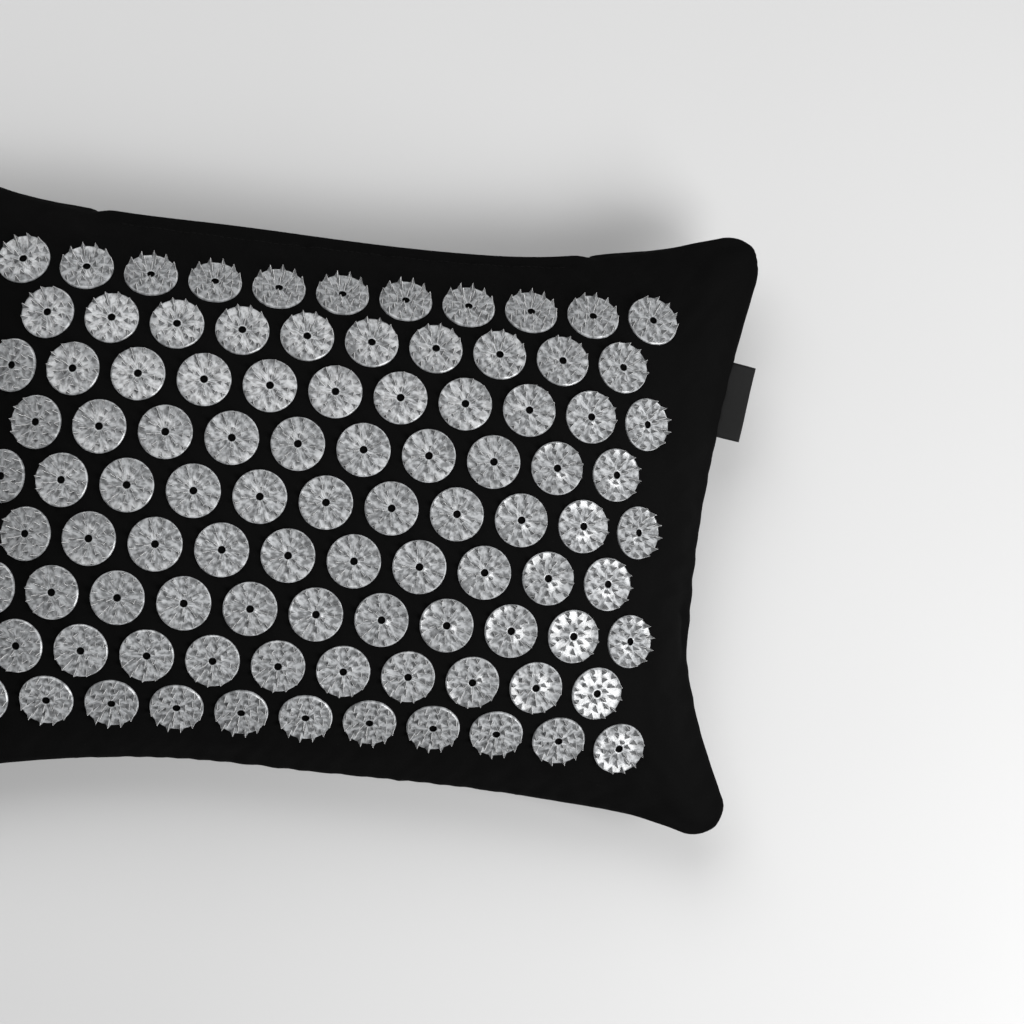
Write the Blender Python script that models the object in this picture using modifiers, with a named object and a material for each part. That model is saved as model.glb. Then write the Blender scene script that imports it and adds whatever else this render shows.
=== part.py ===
import math
import random

import bmesh
import bpy
from mathutils import Matrix, Vector
from mathutils.geometry import delaunay_2d_cdt

# Stuffed acupressure pad with rows of spiked discs on its crowned top.
# Sizes are in metres. The rows run along X, Z is up, and the origin is under
# the middle of the pad, on the surface that it lies on.

# Pad
pad_length = 0.416              # tip to tip of the corners
pad_width = 0.299
side_draw_in = 0.0178           # how far a long side stands inside its corners
end_draw_in = 0.0192
corner_radius = 0.0145
crown_height = 0.051            # top of the cloth above the seam
seam_height = 0.041             # seam above the surface that the pad lies on
belly_flattening = 0.010        # by which the surface pushes the belly flat
side_gather = 0.015             # share by which its gathers shorten the cloth at a long side

# Shape of the seam line and of the crown, as powers of the share of the way out
side_bend_power = 3.3
end_bend_power = 2.1
crown_power_along = 4.6
crown_power_across = 3.5

# Cloth and clearances
cover_cloth = 0.0010
casing_cloth = 0.0008
seam_gap = 0.0003
strip_gap = 0.0003              # between two neighbouring strips of the top panel
rest_gap = 0.0003               # between two layers where one lies on the other
top_layer_gap = 0.0018          # between two layers under the crown
belly_layer_gap = 0.0030        # between two layers where the belly rounds up to the seam
casing_zip_gap = 0.0018         # between the casing's seam and the ends of the zip's tapes
filling_room = 0.0120           # the filling's edge stands this far inside the casing's seam
filling_edge = 0.002            # thickness of the filling at its edge

# Discs
disc_radius = 0.0129
disc_gap = 0.0056               # between two discs of a row
row_gap = 0.0009                # between two rows of discs
side_border = 0.020             # least plain cloth between a disc and the seam of a long side
end_border = 0.024              # the same at an end
disc_top_radius = 0.0125
disc_thickness = 0.0010
hole_radius = 0.0019
hole_depth = 0.0009
outer_spikes = 12
middle_spikes = 9
inner_spikes = 6
spike_height = 0.0039
spike_width = 0.0027            # of an outer spike, along the rim
outer_spike_foot = 0.0094       # radius at which an outer spike begins
middle_spike_foot = 0.0054
outer_spike_lean = 0.0005       # tip outwards of the middle of its foot
middle_spike_lean = 0.0015
inner_spike_lean = 0.0010
disc_turn = math.radians(172)   # where a disc's first spike points
disc_turn_spread = math.radians(9)

# Zip in the seam of the far long side
zip_half_length = 0.118         # of the opening in the cover
zip_lip_opening = 0.0042        # how far each of the cover's lips stands off its plain height
zip_lip_width = 0.0050          # of the cloth that the opening bends
zip_lip_run = 0.0015            # in which the lips close again past the opening's ends
zip_depth = 0.003               # middle of the chain inside the seam line
tape_end_gap = 0.0025
tape_thickness = 0.0006
tape_straight = 0.0012
tape_slant_in = 0.0042
tape_slant_up = 0.0016
chain_end_room = 0.0195         # from the chain's end to the end of the opening
chain_thickness = 0.0018
chain_channel = 0.0014          # free way between the two rows for the slider's web
tooth_height = 0.0011
tooth_pitch = 0.0065
rail_height = 0.0007
chain_gap = 0.0003
stop_length = 0.0020

# Slider and pull tab
slider_length = 0.0090
slider_plate = 0.0010
slider_wall = 0.0007            # flange that turns in at the plate's edge
slider_web_length = 0.0022
slider_web_thickness = 0.0008
slider_park_gap = 0.0005        # between the slider and the stops at rest
bail_length = 0.0054
bail_width = 0.0012
bail_wire = 0.0010
bail_chamfer = 0.0009
pull_axis_height = 0.0011       # above the slider's plate
bail_room = 0.0022              # under the bail, above the plate
pull_length = 0.0200
pull_width = 0.0056
pull_tip_width = 0.0072
pull_thickness = 0.0010
pull_bar_half = 0.0006
pull_slot_length = 0.0034
pull_slot_width = 0.0024

# Side label, a folded loop in the right end's seam
label_length = 0.0372
label_reach = 0.0111            # proud of the seam
label_middle = 0.0690           # from the middle of the end
label_cloth = 0.0004
label_fold_gap = 0.0005
label_seam_gap = 0.0003

# Fineness of the meshes
side_points = 4                 # of a quarter of the seam line, on the long side
end_points = 4
corner_points = 5
disc_foot_points = 10
bottom_ring_shares = (0.0, 0.50)    # of the way from the flat underside to the seam
cushion_ring_shares = (0.0, 0.55)
bottom_ring_skip_count = 2      # every second point of the seam line
cushion_seam_skip_count = 2
cushion_ring_skip_count = 4
corner_point_shares = (0.25, 0.50, 0.75)
crease_angle = math.radians(50)     # from which an edge of a panel is sharp
march_steps = 60
slope_step = 0.0001
bail_overrun = 0.0002

turn_dice = random.Random(4)


# Materials

def material(name, colour, roughness, metallic=0.0):
    finish = bpy.data.materials.new(name)
    finish.use_nodes = True
    shader = finish.node_tree.nodes["Principled BSDF"]
    shader.inputs["Base Color"].default_value = (*colour, 1.0)
    shader.inputs["Roughness"].default_value = roughness
    shader.inputs["Metallic"].default_value = metallic
    finish.diffuse_color = (*colour, 1.0)
    return finish


# Seam line and crown

def meet_corner(centre_along, centre_across, start, power, radius):
    """Where a drawn-in side, which leaves the middle at start, runs into the corner's arc."""
    angle = 0.0
    for _ in range(march_steps):
        along = centre_along - radius * math.sin(angle)
        across = centre_across + radius * math.cos(angle)
        angle = math.atan(power * (across - start) / along)
    return along, across, angle


class SeamLine:
    """The outline of a panel of the pad, drawn in between its corners."""

    def __init__(self, inset=0.0):
        self.half_length_at_tip = pad_length / 2 - inset
        self.half_width_at_tip = pad_width / 2 - inset
        self.middle_half_width = self.half_width_at_tip - side_draw_in
        self.middle_half_length = self.half_length_at_tip - end_draw_in
        self.centre_x = self.half_length_at_tip - corner_radius
        self.centre_y = self.half_width_at_tip - corner_radius
        self.side_x, self.side_y, self.side_angle = meet_corner(
            self.centre_x, self.centre_y, self.middle_half_width, side_bend_power, corner_radius)
        self.end_y, self.end_x, self.end_angle = meet_corner(
            self.centre_y, self.centre_x, self.middle_half_length, end_bend_power, corner_radius)

    def half_width(self, x):
        """Half the width of the panel at a place along it."""
        x = abs(x)
        if x <= self.side_x:
            bend = (x / self.side_x) ** side_bend_power
            return self.middle_half_width + (self.side_y - self.middle_half_width) * bend
        reach = min(x - self.centre_x, corner_radius)
        return self.centre_y + math.sqrt(corner_radius ** 2 - reach ** 2)

    def half_length(self, y):
        y = abs(y)
        if y <= self.end_y:
            bend = (y / self.end_y) ** end_bend_power
            return self.middle_half_length + (self.end_x - self.middle_half_length) * bend
        reach = min(y - self.centre_y, corner_radius)
        return self.centre_x + math.sqrt(corner_radius ** 2 - reach ** 2)

    def crown(self, x, y):
        """Share of the crown's height at a place: 1 in the middle and 0 on the seam."""
        out_along = min(abs(x) / self.half_length(y), 1.0)
        out_across = min(abs(y) / self.half_width(x), 1.0)
        return (1 - out_along ** crown_power_along) * (1 - out_across ** crown_power_across)

    def quarter(self):
        """Points of the seam line from the end's middle to the long side's middle."""
        points = []
        for step in range(end_points):
            y = self.end_y * step / end_points
            points.append((self.half_length(y), y))
        first = -self.end_angle
        sweep = math.pi / 2 + self.end_angle + self.side_angle
        for step in range(corner_points):
            angle = first + sweep * step / (corner_points - 1)
            points.append((self.centre_x + corner_radius * math.cos(angle),
                           self.centre_y + corner_radius * math.sin(angle)))
        for step in range(1, side_points + 1):
            x = self.side_x * (1 - step / side_points)
            points.append((x, self.half_width(x)))
        return points

    def ring(self):
        """The whole seam line, from the right end's middle to the left, and back."""
        quarter = self.quarter()
        far_side = quarter + [(-x, y) for x, y in reversed(quarter[:-1])]
        return far_side + [(x, -y) for x, y in reversed(far_side[1:-1])]


disc_pitch = 2 * disc_radius + disc_gap
row_pitch = 2 * disc_radius + row_gap
cover_line = SeamLine()
zip_bow = cover_line.half_width(zip_half_length) - cover_line.middle_half_width
casing_inset = zip_depth + tape_slant_in + zip_bow + casing_zip_gap
casing_line = SeamLine(casing_inset)
filling_line = SeamLine(casing_inset + filling_room)
belly_fall = seam_height + belly_flattening


def lip_opening(x, y):
    """How far the zip holds the cover open at a place, above the seam and below it."""
    inside = cover_line.half_width(x) - y
    if abs(x) > zip_half_length - zip_lip_run or inside > zip_lip_width:
        return 0.0
    return zip_lip_opening * (1 - inside / zip_lip_width)


def top_outside(x, y):
    """Height of the top panel's outer face."""
    edge = seam_height + seam_gap / 2 + cover_cloth
    rise = crown_height - seam_gap / 2 - cover_cloth
    return edge + rise * cover_line.crown(x, y) + lip_opening(x, y)


def top_inside(x, y):
    return top_outside(x, y) - cover_cloth


def bottom_outside(x, y):
    """Height of the bottom panel's outer face, which lies flat on the surface below."""
    edge = seam_height - seam_gap / 2 - cover_cloth - lip_opening(x, y)
    return max(0.0, edge - belly_fall * cover_line.crown(x, y))


def bottom_inside(x, y):
    return bottom_outside(x, y) + cover_cloth


def casing_top_outside(x, y):
    edge = seam_height + seam_gap / 2 + casing_cloth
    peak = seam_height + crown_height - cover_cloth - top_layer_gap
    return edge + (peak - edge) * casing_line.crown(x, y)


def casing_top_inside(x, y):
    return casing_top_outside(x, y) - casing_cloth


def casing_bottom_outside(x, y):
    edge = seam_height - seam_gap / 2 - casing_cloth
    fall = belly_fall - cover_cloth - belly_layer_gap
    return max(cover_cloth + rest_gap, edge - fall * casing_line.crown(x, y))


def casing_bottom_inside(x, y):
    return casing_bottom_outside(x, y) + casing_cloth


def filling_top(x, y):
    edge = seam_height + filling_edge / 2
    peak = casing_top_inside(0.0, 0.0) - top_layer_gap
    return edge + (peak - edge) * filling_line.crown(x, y)


def filling_bottom(x, y):
    edge = seam_height - filling_edge / 2
    fall = belly_fall - cover_cloth - casing_cloth - 2 * belly_layer_gap
    floor = casing_bottom_inside(0.0, 0.0) + rest_gap
    return max(floor, edge - fall * filling_line.crown(x, y))


def slope_along(x, y):
    return (top_outside(x + slope_step, y) - top_outside(x - slope_step, y)) / (2 * slope_step)


def slope_across(x, y):
    return (top_outside(x, y + slope_step) - top_outside(x, y - slope_step)) / (2 * slope_step)


def walk_cloth(distance, slope_at):
    """How far over the ground a walk of a given length over the cloth leads."""
    place = 0.0
    for _ in range(march_steps):
        place += distance / march_steps / math.hypot(1.0, slope_at(place))
    return place


def cloth_run(ground, slope_at):
    """Length over the cloth from the middle of the pad out to a place over the ground."""
    step = ground / march_steps
    return sum(step * math.hypot(1.0, slope_at(step * count)) for count in range(march_steps))


def discs_outwards(run, border, pitch):
    """How many discs or rows fit on a run of cloth, past the one in the pad's middle."""
    return int((run - border - disc_radius) / pitch)


def across_ground(distance, x):
    return walk_cloth(distance, lambda y: slope_across(x, y))


def along_ground(distance, y):
    return walk_cloth(distance, lambda x: slope_along(x, y))


side_run = cloth_run(cover_line.middle_half_width, lambda y: slope_across(0.0, -y))
end_run = cloth_run(cover_line.middle_half_length, lambda x: slope_along(x, 0.0))
rows_outwards = discs_outwards(side_run, side_border, row_pitch)
row_count = 2 * rows_outwards + 1
long_row_discs = 2 * discs_outwards(end_run, end_border, disc_pitch) + 1
short_row_discs = long_row_discs - 1
chain_half_length = zip_half_length - chain_end_room


def cloth_place(along, across):
    """Where a point of the flat cloth comes to lie over the ground on the stuffed pad."""
    gathered = along * (1 - side_gather * (across / row_distance(0)) ** 2)
    x = along_ground(gathered, across_ground(across, 0.0))
    y = across_ground(across, x)
    return along_ground(gathered, y), y


# Meshes

def closed_part(name, bm, finishes, parts, smooth_angle=None):
    """Makes an object of a closed bmesh, with its faces turned outwards."""
    bmesh.ops.recalc_face_normals(bm, faces=bm.faces[:])
    mesh = bpy.data.meshes.new(name)
    bm.to_mesh(mesh)
    bm.free()
    for finish in finishes:
        mesh.materials.append(finish)
    if smooth_angle is not None:
        mesh.shade_smooth()
        mesh.set_sharp_from_angle(angle=smooth_angle)
    part = bpy.data.objects.new(name, mesh)
    parts.objects.link(part)
    return part


def lies_inside(place, outline):
    """Whether a place lies inside an outline of points."""
    crossings = 0
    for step in range(len(outline)):
        (x0, y0), (x1, y1) = outline[step - 1], outline[step]
        if (y0 > place.y) != (y1 > place.y):
            if place.x < x0 + (place.y - y0) / (y1 - y0) * (x1 - x0):
                crossings += 1
    return crossings % 2 == 1


def cloth_triangles(points, outline_count, holes=()):
    """Triangles over the ground inside an outline, the first points, and around round holes."""
    loops = [list(range(outline_count)), *holes]
    edges = []
    for loop in loops:
        edges += [(loop[step - 1], loop[step]) for step in range(len(loop))]
    flat = [Vector(point) for point in points]
    outline = [tuple(point) for point in flat[:outline_count]]
    made = delaunay_2d_cdt(flat, edges, [], 0, 0.0, True)
    origins = [min(origin) for origin in made[3]]
    triangles = []
    for face in made[2]:
        corners = [origins[corner] for corner in face]
        middle = sum((flat[corner] for corner in corners), Vector((0.0, 0.0))) / len(corners)
        in_hole = any(set(corners) <= set(hole) for hole in holes)
        if lies_inside(middle, outline) and not in_hole:
            triangles.append(corners)
    return triangles


def layer(bm, outline, inside, upper, lower):
    """A closed layer of cloth between two heights, over an outline and the points inside it."""
    points = list(outline) + list(inside)
    triangles = cloth_triangles(points, len(outline))
    over = [bm.verts.new((x, y, upper(x, y))) for x, y in points]
    under = [bm.verts.new((x, y, lower(x, y))) for x, y in points]
    for corners in triangles:
        bm.faces.new([over[corner] for corner in corners])
        bm.faces.new([under[corner] for corner in reversed(corners)])
    wall(bm, over[:len(outline)], under[:len(outline)])


def wall(bm, over, under):
    """Joins two loops of as many points."""
    for step in range(len(over)):
        bm.faces.new((over[step - 1], over[step], under[step], under[step - 1]))


# Discs

def spike_turns(count, start, spread=0.0):
    """Angles of a ring of points, one for each spike, or two on both sides of it."""
    turns = []
    for spike in range(count):
        middle = start + math.tau * spike / count
        turns += [middle - spread, middle + spread] if spread else [middle]
    return turns


def disc_ring(bm, place, turns, radius, height):
    """A ring of points on a disc, which keep their angles beside them."""
    corners = []
    for turn in turns:
        local = Vector((radius * math.cos(turn), radius * math.sin(turn), height))
        corners.append(bm.verts.new(place @ local))
    return corners


def turn_halfway(turns, step):
    """Angle halfway between a point of a ring and the next."""
    here = turns[step % len(turns)] + math.tau * (step // len(turns))
    there = turns[(step + 1) % len(turns)] + math.tau * ((step + 1) // len(turns))
    return (here + there) / 2


def loft_rings(bm, outer, outer_turns, inner, inner_turns):
    """Lofts two rings of unlike counts; gives the faces on the outer edges, and on the inner."""
    outer_faces = []
    inner_faces = []
    a = 0
    b = 0
    while a < len(outer) or b < len(inner):
        inner_first = turn_halfway(inner_turns, b) <= turn_halfway(outer_turns, a)
        here = outer[a % len(outer)]
        inside = inner[b % len(inner)]
        if b < len(inner) and (inner_first or a == len(outer)):
            b += 1
            inner_faces.append(bm.faces.new((here, inner[b % len(inner)], inside)))
        else:
            a += 1
            outer_faces.append(bm.faces.new((here, outer[a % len(outer)], inside)))
    return outer_faces, inner_faces


def raise_spikes(bm, place, faces, lean):
    """Raises each three-sided foot to a spike whose tip leans outwards."""
    to_disc = place.inverted()
    for face in faces:
        middle = to_disc @ face.calc_center_median()
        outwards = Vector((middle.x, middle.y, 0.0)).normalized()
        tip = bmesh.ops.poke(bm, faces=[face])["verts"][0]
        tip.co = place @ (middle + outwards * lean + Vector((0.0, 0.0, spike_height)))


def foot_turns(turn):
    """Angles of the points of a disc's foot, whose flats face the neighbouring rows."""
    step = math.tau / disc_foot_points
    return spike_turns(disc_foot_points, round(turn / step) * step)


def add_disc(bm, place, turn, foot):
    """A disc with three rings of spikes and a hole in the middle, on its foot's ring of points."""
    half_spike = math.asin(spike_width / 2 / disc_top_radius)
    rim_turns = spike_turns(outer_spikes, turn, half_spike)
    ledge_turns = spike_turns(outer_spikes, turn)
    middle_turns = spike_turns(middle_spikes, turn - math.pi / middle_spikes)
    hole_turns = spike_turns(inner_spikes, turn - math.pi / inner_spikes)
    rim = disc_ring(bm, place, rim_turns, disc_top_radius, disc_thickness)
    ledge = disc_ring(bm, place, ledge_turns, outer_spike_foot, disc_thickness)
    middle = disc_ring(bm, place, middle_turns, middle_spike_foot, disc_thickness)
    hole = disc_ring(bm, place, hole_turns, hole_radius, disc_thickness)
    loft_rings(bm, foot, foot_turns(turn), rim, rim_turns)
    on_rim = loft_rings(bm, rim, rim_turns, ledge, ledge_turns)[0]
    on_middle = loft_rings(bm, ledge, ledge_turns, middle, middle_turns)[1]
    on_hole = loft_rings(bm, middle, middle_turns, hole, hole_turns)[1]
    pit = bm.verts.new(place @ Vector((0.0, 0.0, disc_thickness - hole_depth)))
    for step in range(len(hole)):
        bm.faces.new((hole[step - 1], hole[step], pit))
    raise_spikes(bm, place, on_rim[0::2], outer_spike_lean)
    raise_spikes(bm, place, on_middle, middle_spike_lean)
    raise_spikes(bm, place, on_hole, inner_spike_lean)


def disc_place(x, y):
    """Where a disc lies flat on the crowned cloth."""
    normal = Vector((-slope_along(x, y), -slope_across(x, y), 1.0)).normalized()
    tilt = Vector((0.0, 0.0, 1.0)).rotation_difference(normal).to_matrix().to_4x4()
    return Matrix.Translation((x, y, top_outside(x, y))) @ tilt


# Strips of the top panel, one under each row of discs

def row_discs(row):
    """Every second row, counted from the middle one, is a disc shorter."""
    return long_row_discs if (row - rows_outwards) % 2 == 0 else short_row_discs


def row_distance(row):
    """A row's distance over the cloth from the pad's middle, positive towards the zip."""
    return (rows_outwards - row) * row_pitch


def strip_columns(row):
    """Distances over the cloth of the points along a strip's edge."""
    half_row = row_discs(row) * disc_pitch / 2
    columns = [step * disc_pitch - half_row for step in range(row_discs(row) + 1)]
    last = long_row_discs * disc_pitch / 2
    if row_discs(row) < long_row_discs:
        columns = [-last, *columns, last]
    return columns


def edge_points(row, across, shift=0.0):
    """Points along a strip's edge, from seam to seam, at a distance across the cloth."""
    seam = (cover_line.half_length(across), across + shift)
    edge = [cloth_place(column, across) for column in strip_columns(row)]
    return [(-seam[0], seam[1]), *((x, y + shift) for x, y in edge), seam]


def zip_lips(ring):
    """The seam line with points added where the cover's lips part at the zip."""
    lip_half = zip_half_length - zip_lip_run
    lips = [(x, y) for x, y in ring if y < 0 or not lip_half <= abs(x) <= zip_half_length]
    for x in (zip_half_length, lip_half, -lip_half, -zip_half_length):
        after = next(step for step, (px, py) in enumerate(lips) if py > 0 and px < x)
        lips.insert(after, (x, cover_line.half_width(x)))
    return lips


def strip_outline(row, ring):
    """Outline over the ground of a row's strip, out to the seam at its ends."""
    low = row_distance(row) - row_pitch / 2
    high = row_distance(row) + row_pitch / 2
    low_edge = edge_points(row, low, strip_gap / 2)
    if row == 0:
        return low_edge + [point for point in ring if point[1] > low + strip_gap]
    high_edge = edge_points(row, high, -strip_gap / 2)
    ends = [point for point in ring if low + strip_gap < point[1] < high - strip_gap]
    right = [point for point in ends if point[0] > 0]
    left = [point for point in ends if point[0] < 0]
    return (low_edge + sorted(right, key=lambda point: point[1]) + high_edge[::-1]
            + sorted(left, key=lambda point: -point[1]))


def flap_points(row):
    """Points inside an outermost strip, where its cells end and its corners begin."""
    points = edge_points(row, row_distance(row) + row_pitch / 2)[1:-1]
    start_x, start_y = points[-1]
    for share in corner_point_shares:
        x = start_x + share * (cover_line.centre_x - start_x)
        y = start_y + share * (cover_line.centre_y - start_y)
        points += [(x, y), (-x, y)]
    return points


def top_strip(row, cloth, plastic, parts):
    """A strip of the top panel with the row of discs that it carries."""
    mirrored = row == row_count - 1
    drawn_row = 0 if mirrored else row
    ring = cover_line.ring() if mirrored else zip_lips(cover_line.ring())
    outline = strip_outline(drawn_row, ring)
    inside = flap_points(drawn_row) if drawn_row == 0 else []
    if mirrored:
        outline = [(x, -y) for x, y in reversed(outline)]
        inside = [(x, -y) for x, y in inside]
    bm = bmesh.new()
    discs = []
    for step in range(row_discs(row)):
        distance = (step - (row_discs(row) - 1) / 2) * disc_pitch
        place = disc_place(*cloth_place(distance, row_distance(row)))
        turn = disc_turn + turn_dice.uniform(-disc_turn_spread, disc_turn_spread)
        discs.append((place, turn, disc_ring(bm, place, foot_turns(turn), disc_radius, 0.0)))
    plain = list(outline) + list(inside)
    over = [bm.verts.new((px, py, top_outside(px, py))) for px, py in plain]
    under = [bm.verts.new((px, py, top_inside(px, py))) for px, py in plain]
    corners = list(over)
    holes = []
    for _, _, foot in discs:
        holes.append(list(range(len(corners), len(corners) + len(foot))))
        corners += foot
    for face in cloth_triangles([corner.co.xy for corner in corners], len(outline), holes):
        bm.faces.new([corners[corner] for corner in face])
    for face in cloth_triangles(plain, len(outline)):
        bm.faces.new([under[corner] for corner in reversed(face)])
    wall(bm, over[:len(outline)], under[:len(outline)])
    cloth_faces = set(bm.faces)
    for place, turn, foot in discs:
        add_disc(bm, place, turn, foot)
    for face in bm.faces:
        face.material_index = 0 if face in cloth_faces else 1
    return closed_part(f"top_panel_row_{row + 1}", bm, [cloth, plastic], parts)


# Bottom panel and inner cushion

def panel(name, outline, inside, heights, finish, parts):
    """A layer of cloth, or the filling, between two heights over the pad's whole outline."""
    bm = bmesh.new()
    layer(bm, outline, inside, *heights)
    return closed_part(name, bm, [finish], parts, crease_angle)


def flat_share(x, y, height):
    """Share of the way to a point of the seam over which a layer lies flat on what is below."""
    low = 0.0
    high = 1.0
    for _ in range(march_steps):
        middle = (low + high) / 2
        if height(x * middle, y * middle) > height(0.0, 0.0):
            high = middle
        else:
            low = middle
    return low


def ring_points(seam_points, height, shares):
    """Rings of points from the edge of the flat underside out to the seam."""
    points = [(0.0, 0.0)]
    for x, y in seam_points:
        flat = flat_share(x, y, height)
        for share in shares:
            out = flat + (1 - flat) * share
            points.append((x * out, y * out))
    return points


def bottom_panel(cloth, parts):
    seam = cover_line.ring()
    inside = ring_points(seam[::bottom_ring_skip_count], bottom_outside, bottom_ring_shares)
    panel("bottom_panel", zip_lips(seam), inside, (bottom_inside, bottom_outside), cloth, parts)


def cushion_part(name, line, heights, finish, parts):
    """A piece of the inner cushion, whose rings of points turn at the middles of its corners."""
    seam = line.ring()
    first = (end_points + corner_points // 2) % cushion_ring_skip_count
    rays = seam[first::cushion_ring_skip_count]
    inside = ring_points(rays, casing_bottom_outside, cushion_ring_shares)
    panel(name, seam[::cushion_seam_skip_count], inside, heights, finish, parts)


def inner_cushion(lining, fibre, parts):
    cushion_part("inner_casing_top", casing_line, (casing_top_outside, casing_top_inside),
                 lining, parts)
    cushion_part("inner_casing_bottom", casing_line, (casing_bottom_inside, casing_bottom_outside),
                 lining, parts)
    cushion_part("fibre_filling", filling_line, (filling_top, filling_bottom), fibre, parts)


# Flat pieces of the zip

def flat_piece(name, outlines, thickness, finish, parts):
    """A flat piece of an outline, with any holes, in its own XY plane."""
    curve = bpy.data.curves.new(name, "CURVE")
    curve.dimensions = "2D"
    curve.fill_mode = "BOTH"
    curve.extrude = thickness / 2
    for outline in outlines:
        spline = curve.splines.new("POLY")
        spline.points.add(len(outline) - 1)
        for point, (x, y) in zip(spline.points, outline):
            point.co = (x, y, 0.0, 1.0)
        spline.use_cyclic_u = True
    drawn = bpy.data.objects.new(name + "_curve", curve)
    parts.objects.link(drawn)
    bpy.context.view_layer.update()
    mesh = bpy.data.meshes.new_from_object(
        drawn.evaluated_get(bpy.context.evaluated_depsgraph_get()))
    bpy.data.objects.remove(drawn)
    bpy.data.curves.remove(curve)
    bm = bmesh.new()
    bm.from_mesh(mesh)
    bpy.data.meshes.remove(mesh)
    bmesh.ops.remove_doubles(bm, verts=bm.verts[:], dist=thickness / 1000)
    return closed_part(name, bm, [finish], parts)


def stand_up(part, origin, flip=False):
    """Stands a flat piece up in the zip's plane: its X along the seam and its Y upwards."""
    turn = Matrix.Rotation(math.pi / 2, 4, "X")
    if flip:
        turn = turn @ Matrix.Rotation(math.pi, 4, "X")
    part.data.transform(turn)
    part.location = origin
    return part


def join_pieces(body, others, cutters):
    """Joins other pieces to a body with Boolean unions."""
    for other in others:
        union = body.modifiers.new("join_" + other.name, "BOOLEAN")
        union.operation = "UNION"
        union.solver = "EXACT"
        union.object = other
        for holder in other.users_collection:
            holder.objects.unlink(other)
        cutters.objects.link(other)
        other.hide_render = True
        other.display_type = "WIRE"


def zip_line():
    """Middle of the zip's chain."""
    return Vector((0.0, cover_line.middle_half_width - zip_depth, seam_height))


def zip_tape(name, side, finish, parts):
    """A tape that leaves the chain and slants in behind the cover's lip."""
    start = chain_channel / 2 + tooth_height + rail_height + chain_gap
    section = [(0.0, start), (0.0, start + tape_straight),
               (-tape_slant_in, start + tape_straight + tape_slant_up)]
    half = zip_half_length - tape_end_gap
    bm = bmesh.new()
    rows = []
    for y, z in section:
        rows.append([bm.verts.new((x, y, side * z)) for x in (-half, half)])
    for near, far in zip(rows, rows[1:]):
        bm.faces.new((near[0], near[1], far[1], far[0]))
    mesh = bpy.data.meshes.new(name)
    bm.to_mesh(mesh)
    bm.free()
    mesh.materials.append(finish)
    part = bpy.data.objects.new(name, mesh)
    part.location = zip_line()
    parts.objects.link(part)
    shell = part.modifiers.new("cloth", "SOLIDIFY")
    shell.thickness = tape_thickness
    shell.offset = 0.0
    return part


def zip_teeth(name, side, finish, parts):
    """A row of pointed teeth on its rail."""
    tip = chain_channel / 2
    root = tip + tooth_height
    back = root + rail_height
    count = round(2 * chain_half_length / tooth_pitch) - 1
    shift = tooth_pitch / 4 * side
    outline = [(chain_half_length, back), (-chain_half_length, back), (-chain_half_length, root)]
    for tooth in range(count):
        x = (tooth - (count - 1) / 2) * tooth_pitch + shift
        outline += [(x - tooth_pitch / 2, root), (x, tip)]
    outline.append((x + tooth_pitch / 2, root))
    outline.append((chain_half_length, root))
    part = flat_piece(name, [outline], chain_thickness, finish, parts)
    return stand_up(part, zip_line(), flip=side < 0)


def box(name, size, centre, finish, parts):
    """A box of a given size round a centre."""
    bm = bmesh.new()
    bmesh.ops.create_cube(bm, size=1.0, matrix=Matrix.Diagonal((*size, 1.0)))
    part = closed_part(name, bm, [finish], parts)
    part.location = centre
    return part


def zip_stops(metal, parts):
    """Two top stops past the closed end, and a bottom stop across both rows at the open end."""
    place = chain_half_length + chain_gap + stop_length / 2
    low = chain_channel / 2
    height = tooth_height + rail_height
    for name, side in (("zip_top_stop_upper", 1), ("zip_top_stop_lower", -1)):
        centre = zip_line() + Vector((-place, 0.0, side * (low + height / 2)))
        box(name, (stop_length, chain_thickness, height), centre, metal, parts)
    centre = zip_line() + Vector((place, 0.0, 0.0))
    box("zip_bottom_stop", (stop_length, chain_thickness, 2 * (low + height)), centre, metal, parts)


def slider_half_width():
    return chain_channel / 2 + tooth_height + rail_height + chain_gap + slider_wall


def slider_plate_face():
    """Distance of the slider's outer face from the middle of the chain."""
    return chain_thickness / 2 + chain_gap + slider_plate


def slider_shell(name, side, finish, parts):
    """One plate of the slider, with the flanges that hold the teeth."""
    wide = slider_half_width()
    face = slider_plate_face()
    inner = face - slider_plate
    lip = tape_thickness / 2 + chain_gap
    section = [(wide, face), (wide, lip), (wide - slider_wall, lip), (wide - slider_wall, inner),
               (slider_wall - wide, inner), (slider_wall - wide, lip), (-wide, lip), (-wide, face)]
    shell = flat_piece(name, [section], slider_length, finish, parts)
    turn = Matrix(((0.0, 0.0, 1.0, 0.0), (0.0, side, 0.0, 0.0), (1.0, 0.0, 0.0, 0.0),
                   (0.0, 0.0, 0.0, 1.0)))
    shell.data.transform(turn)
    if side > 0:
        shell.data.flip_normals()
    return shell


def bail_outline():
    """Side view of the bail: an arch whose legs stand in the slider's plate."""
    half = bail_length / 2
    top = bail_room + bail_wire
    inside = half - bail_wire
    right = [(half, -bail_overrun), (half, top - bail_chamfer), (half - bail_chamfer, top)]
    left = [(-x, y) for x, y in reversed(right)]
    under = [(-inside, -bail_overrun), (-inside, bail_room), (inside, bail_room),
             (inside, -bail_overrun)]
    return right + left + under


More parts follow.
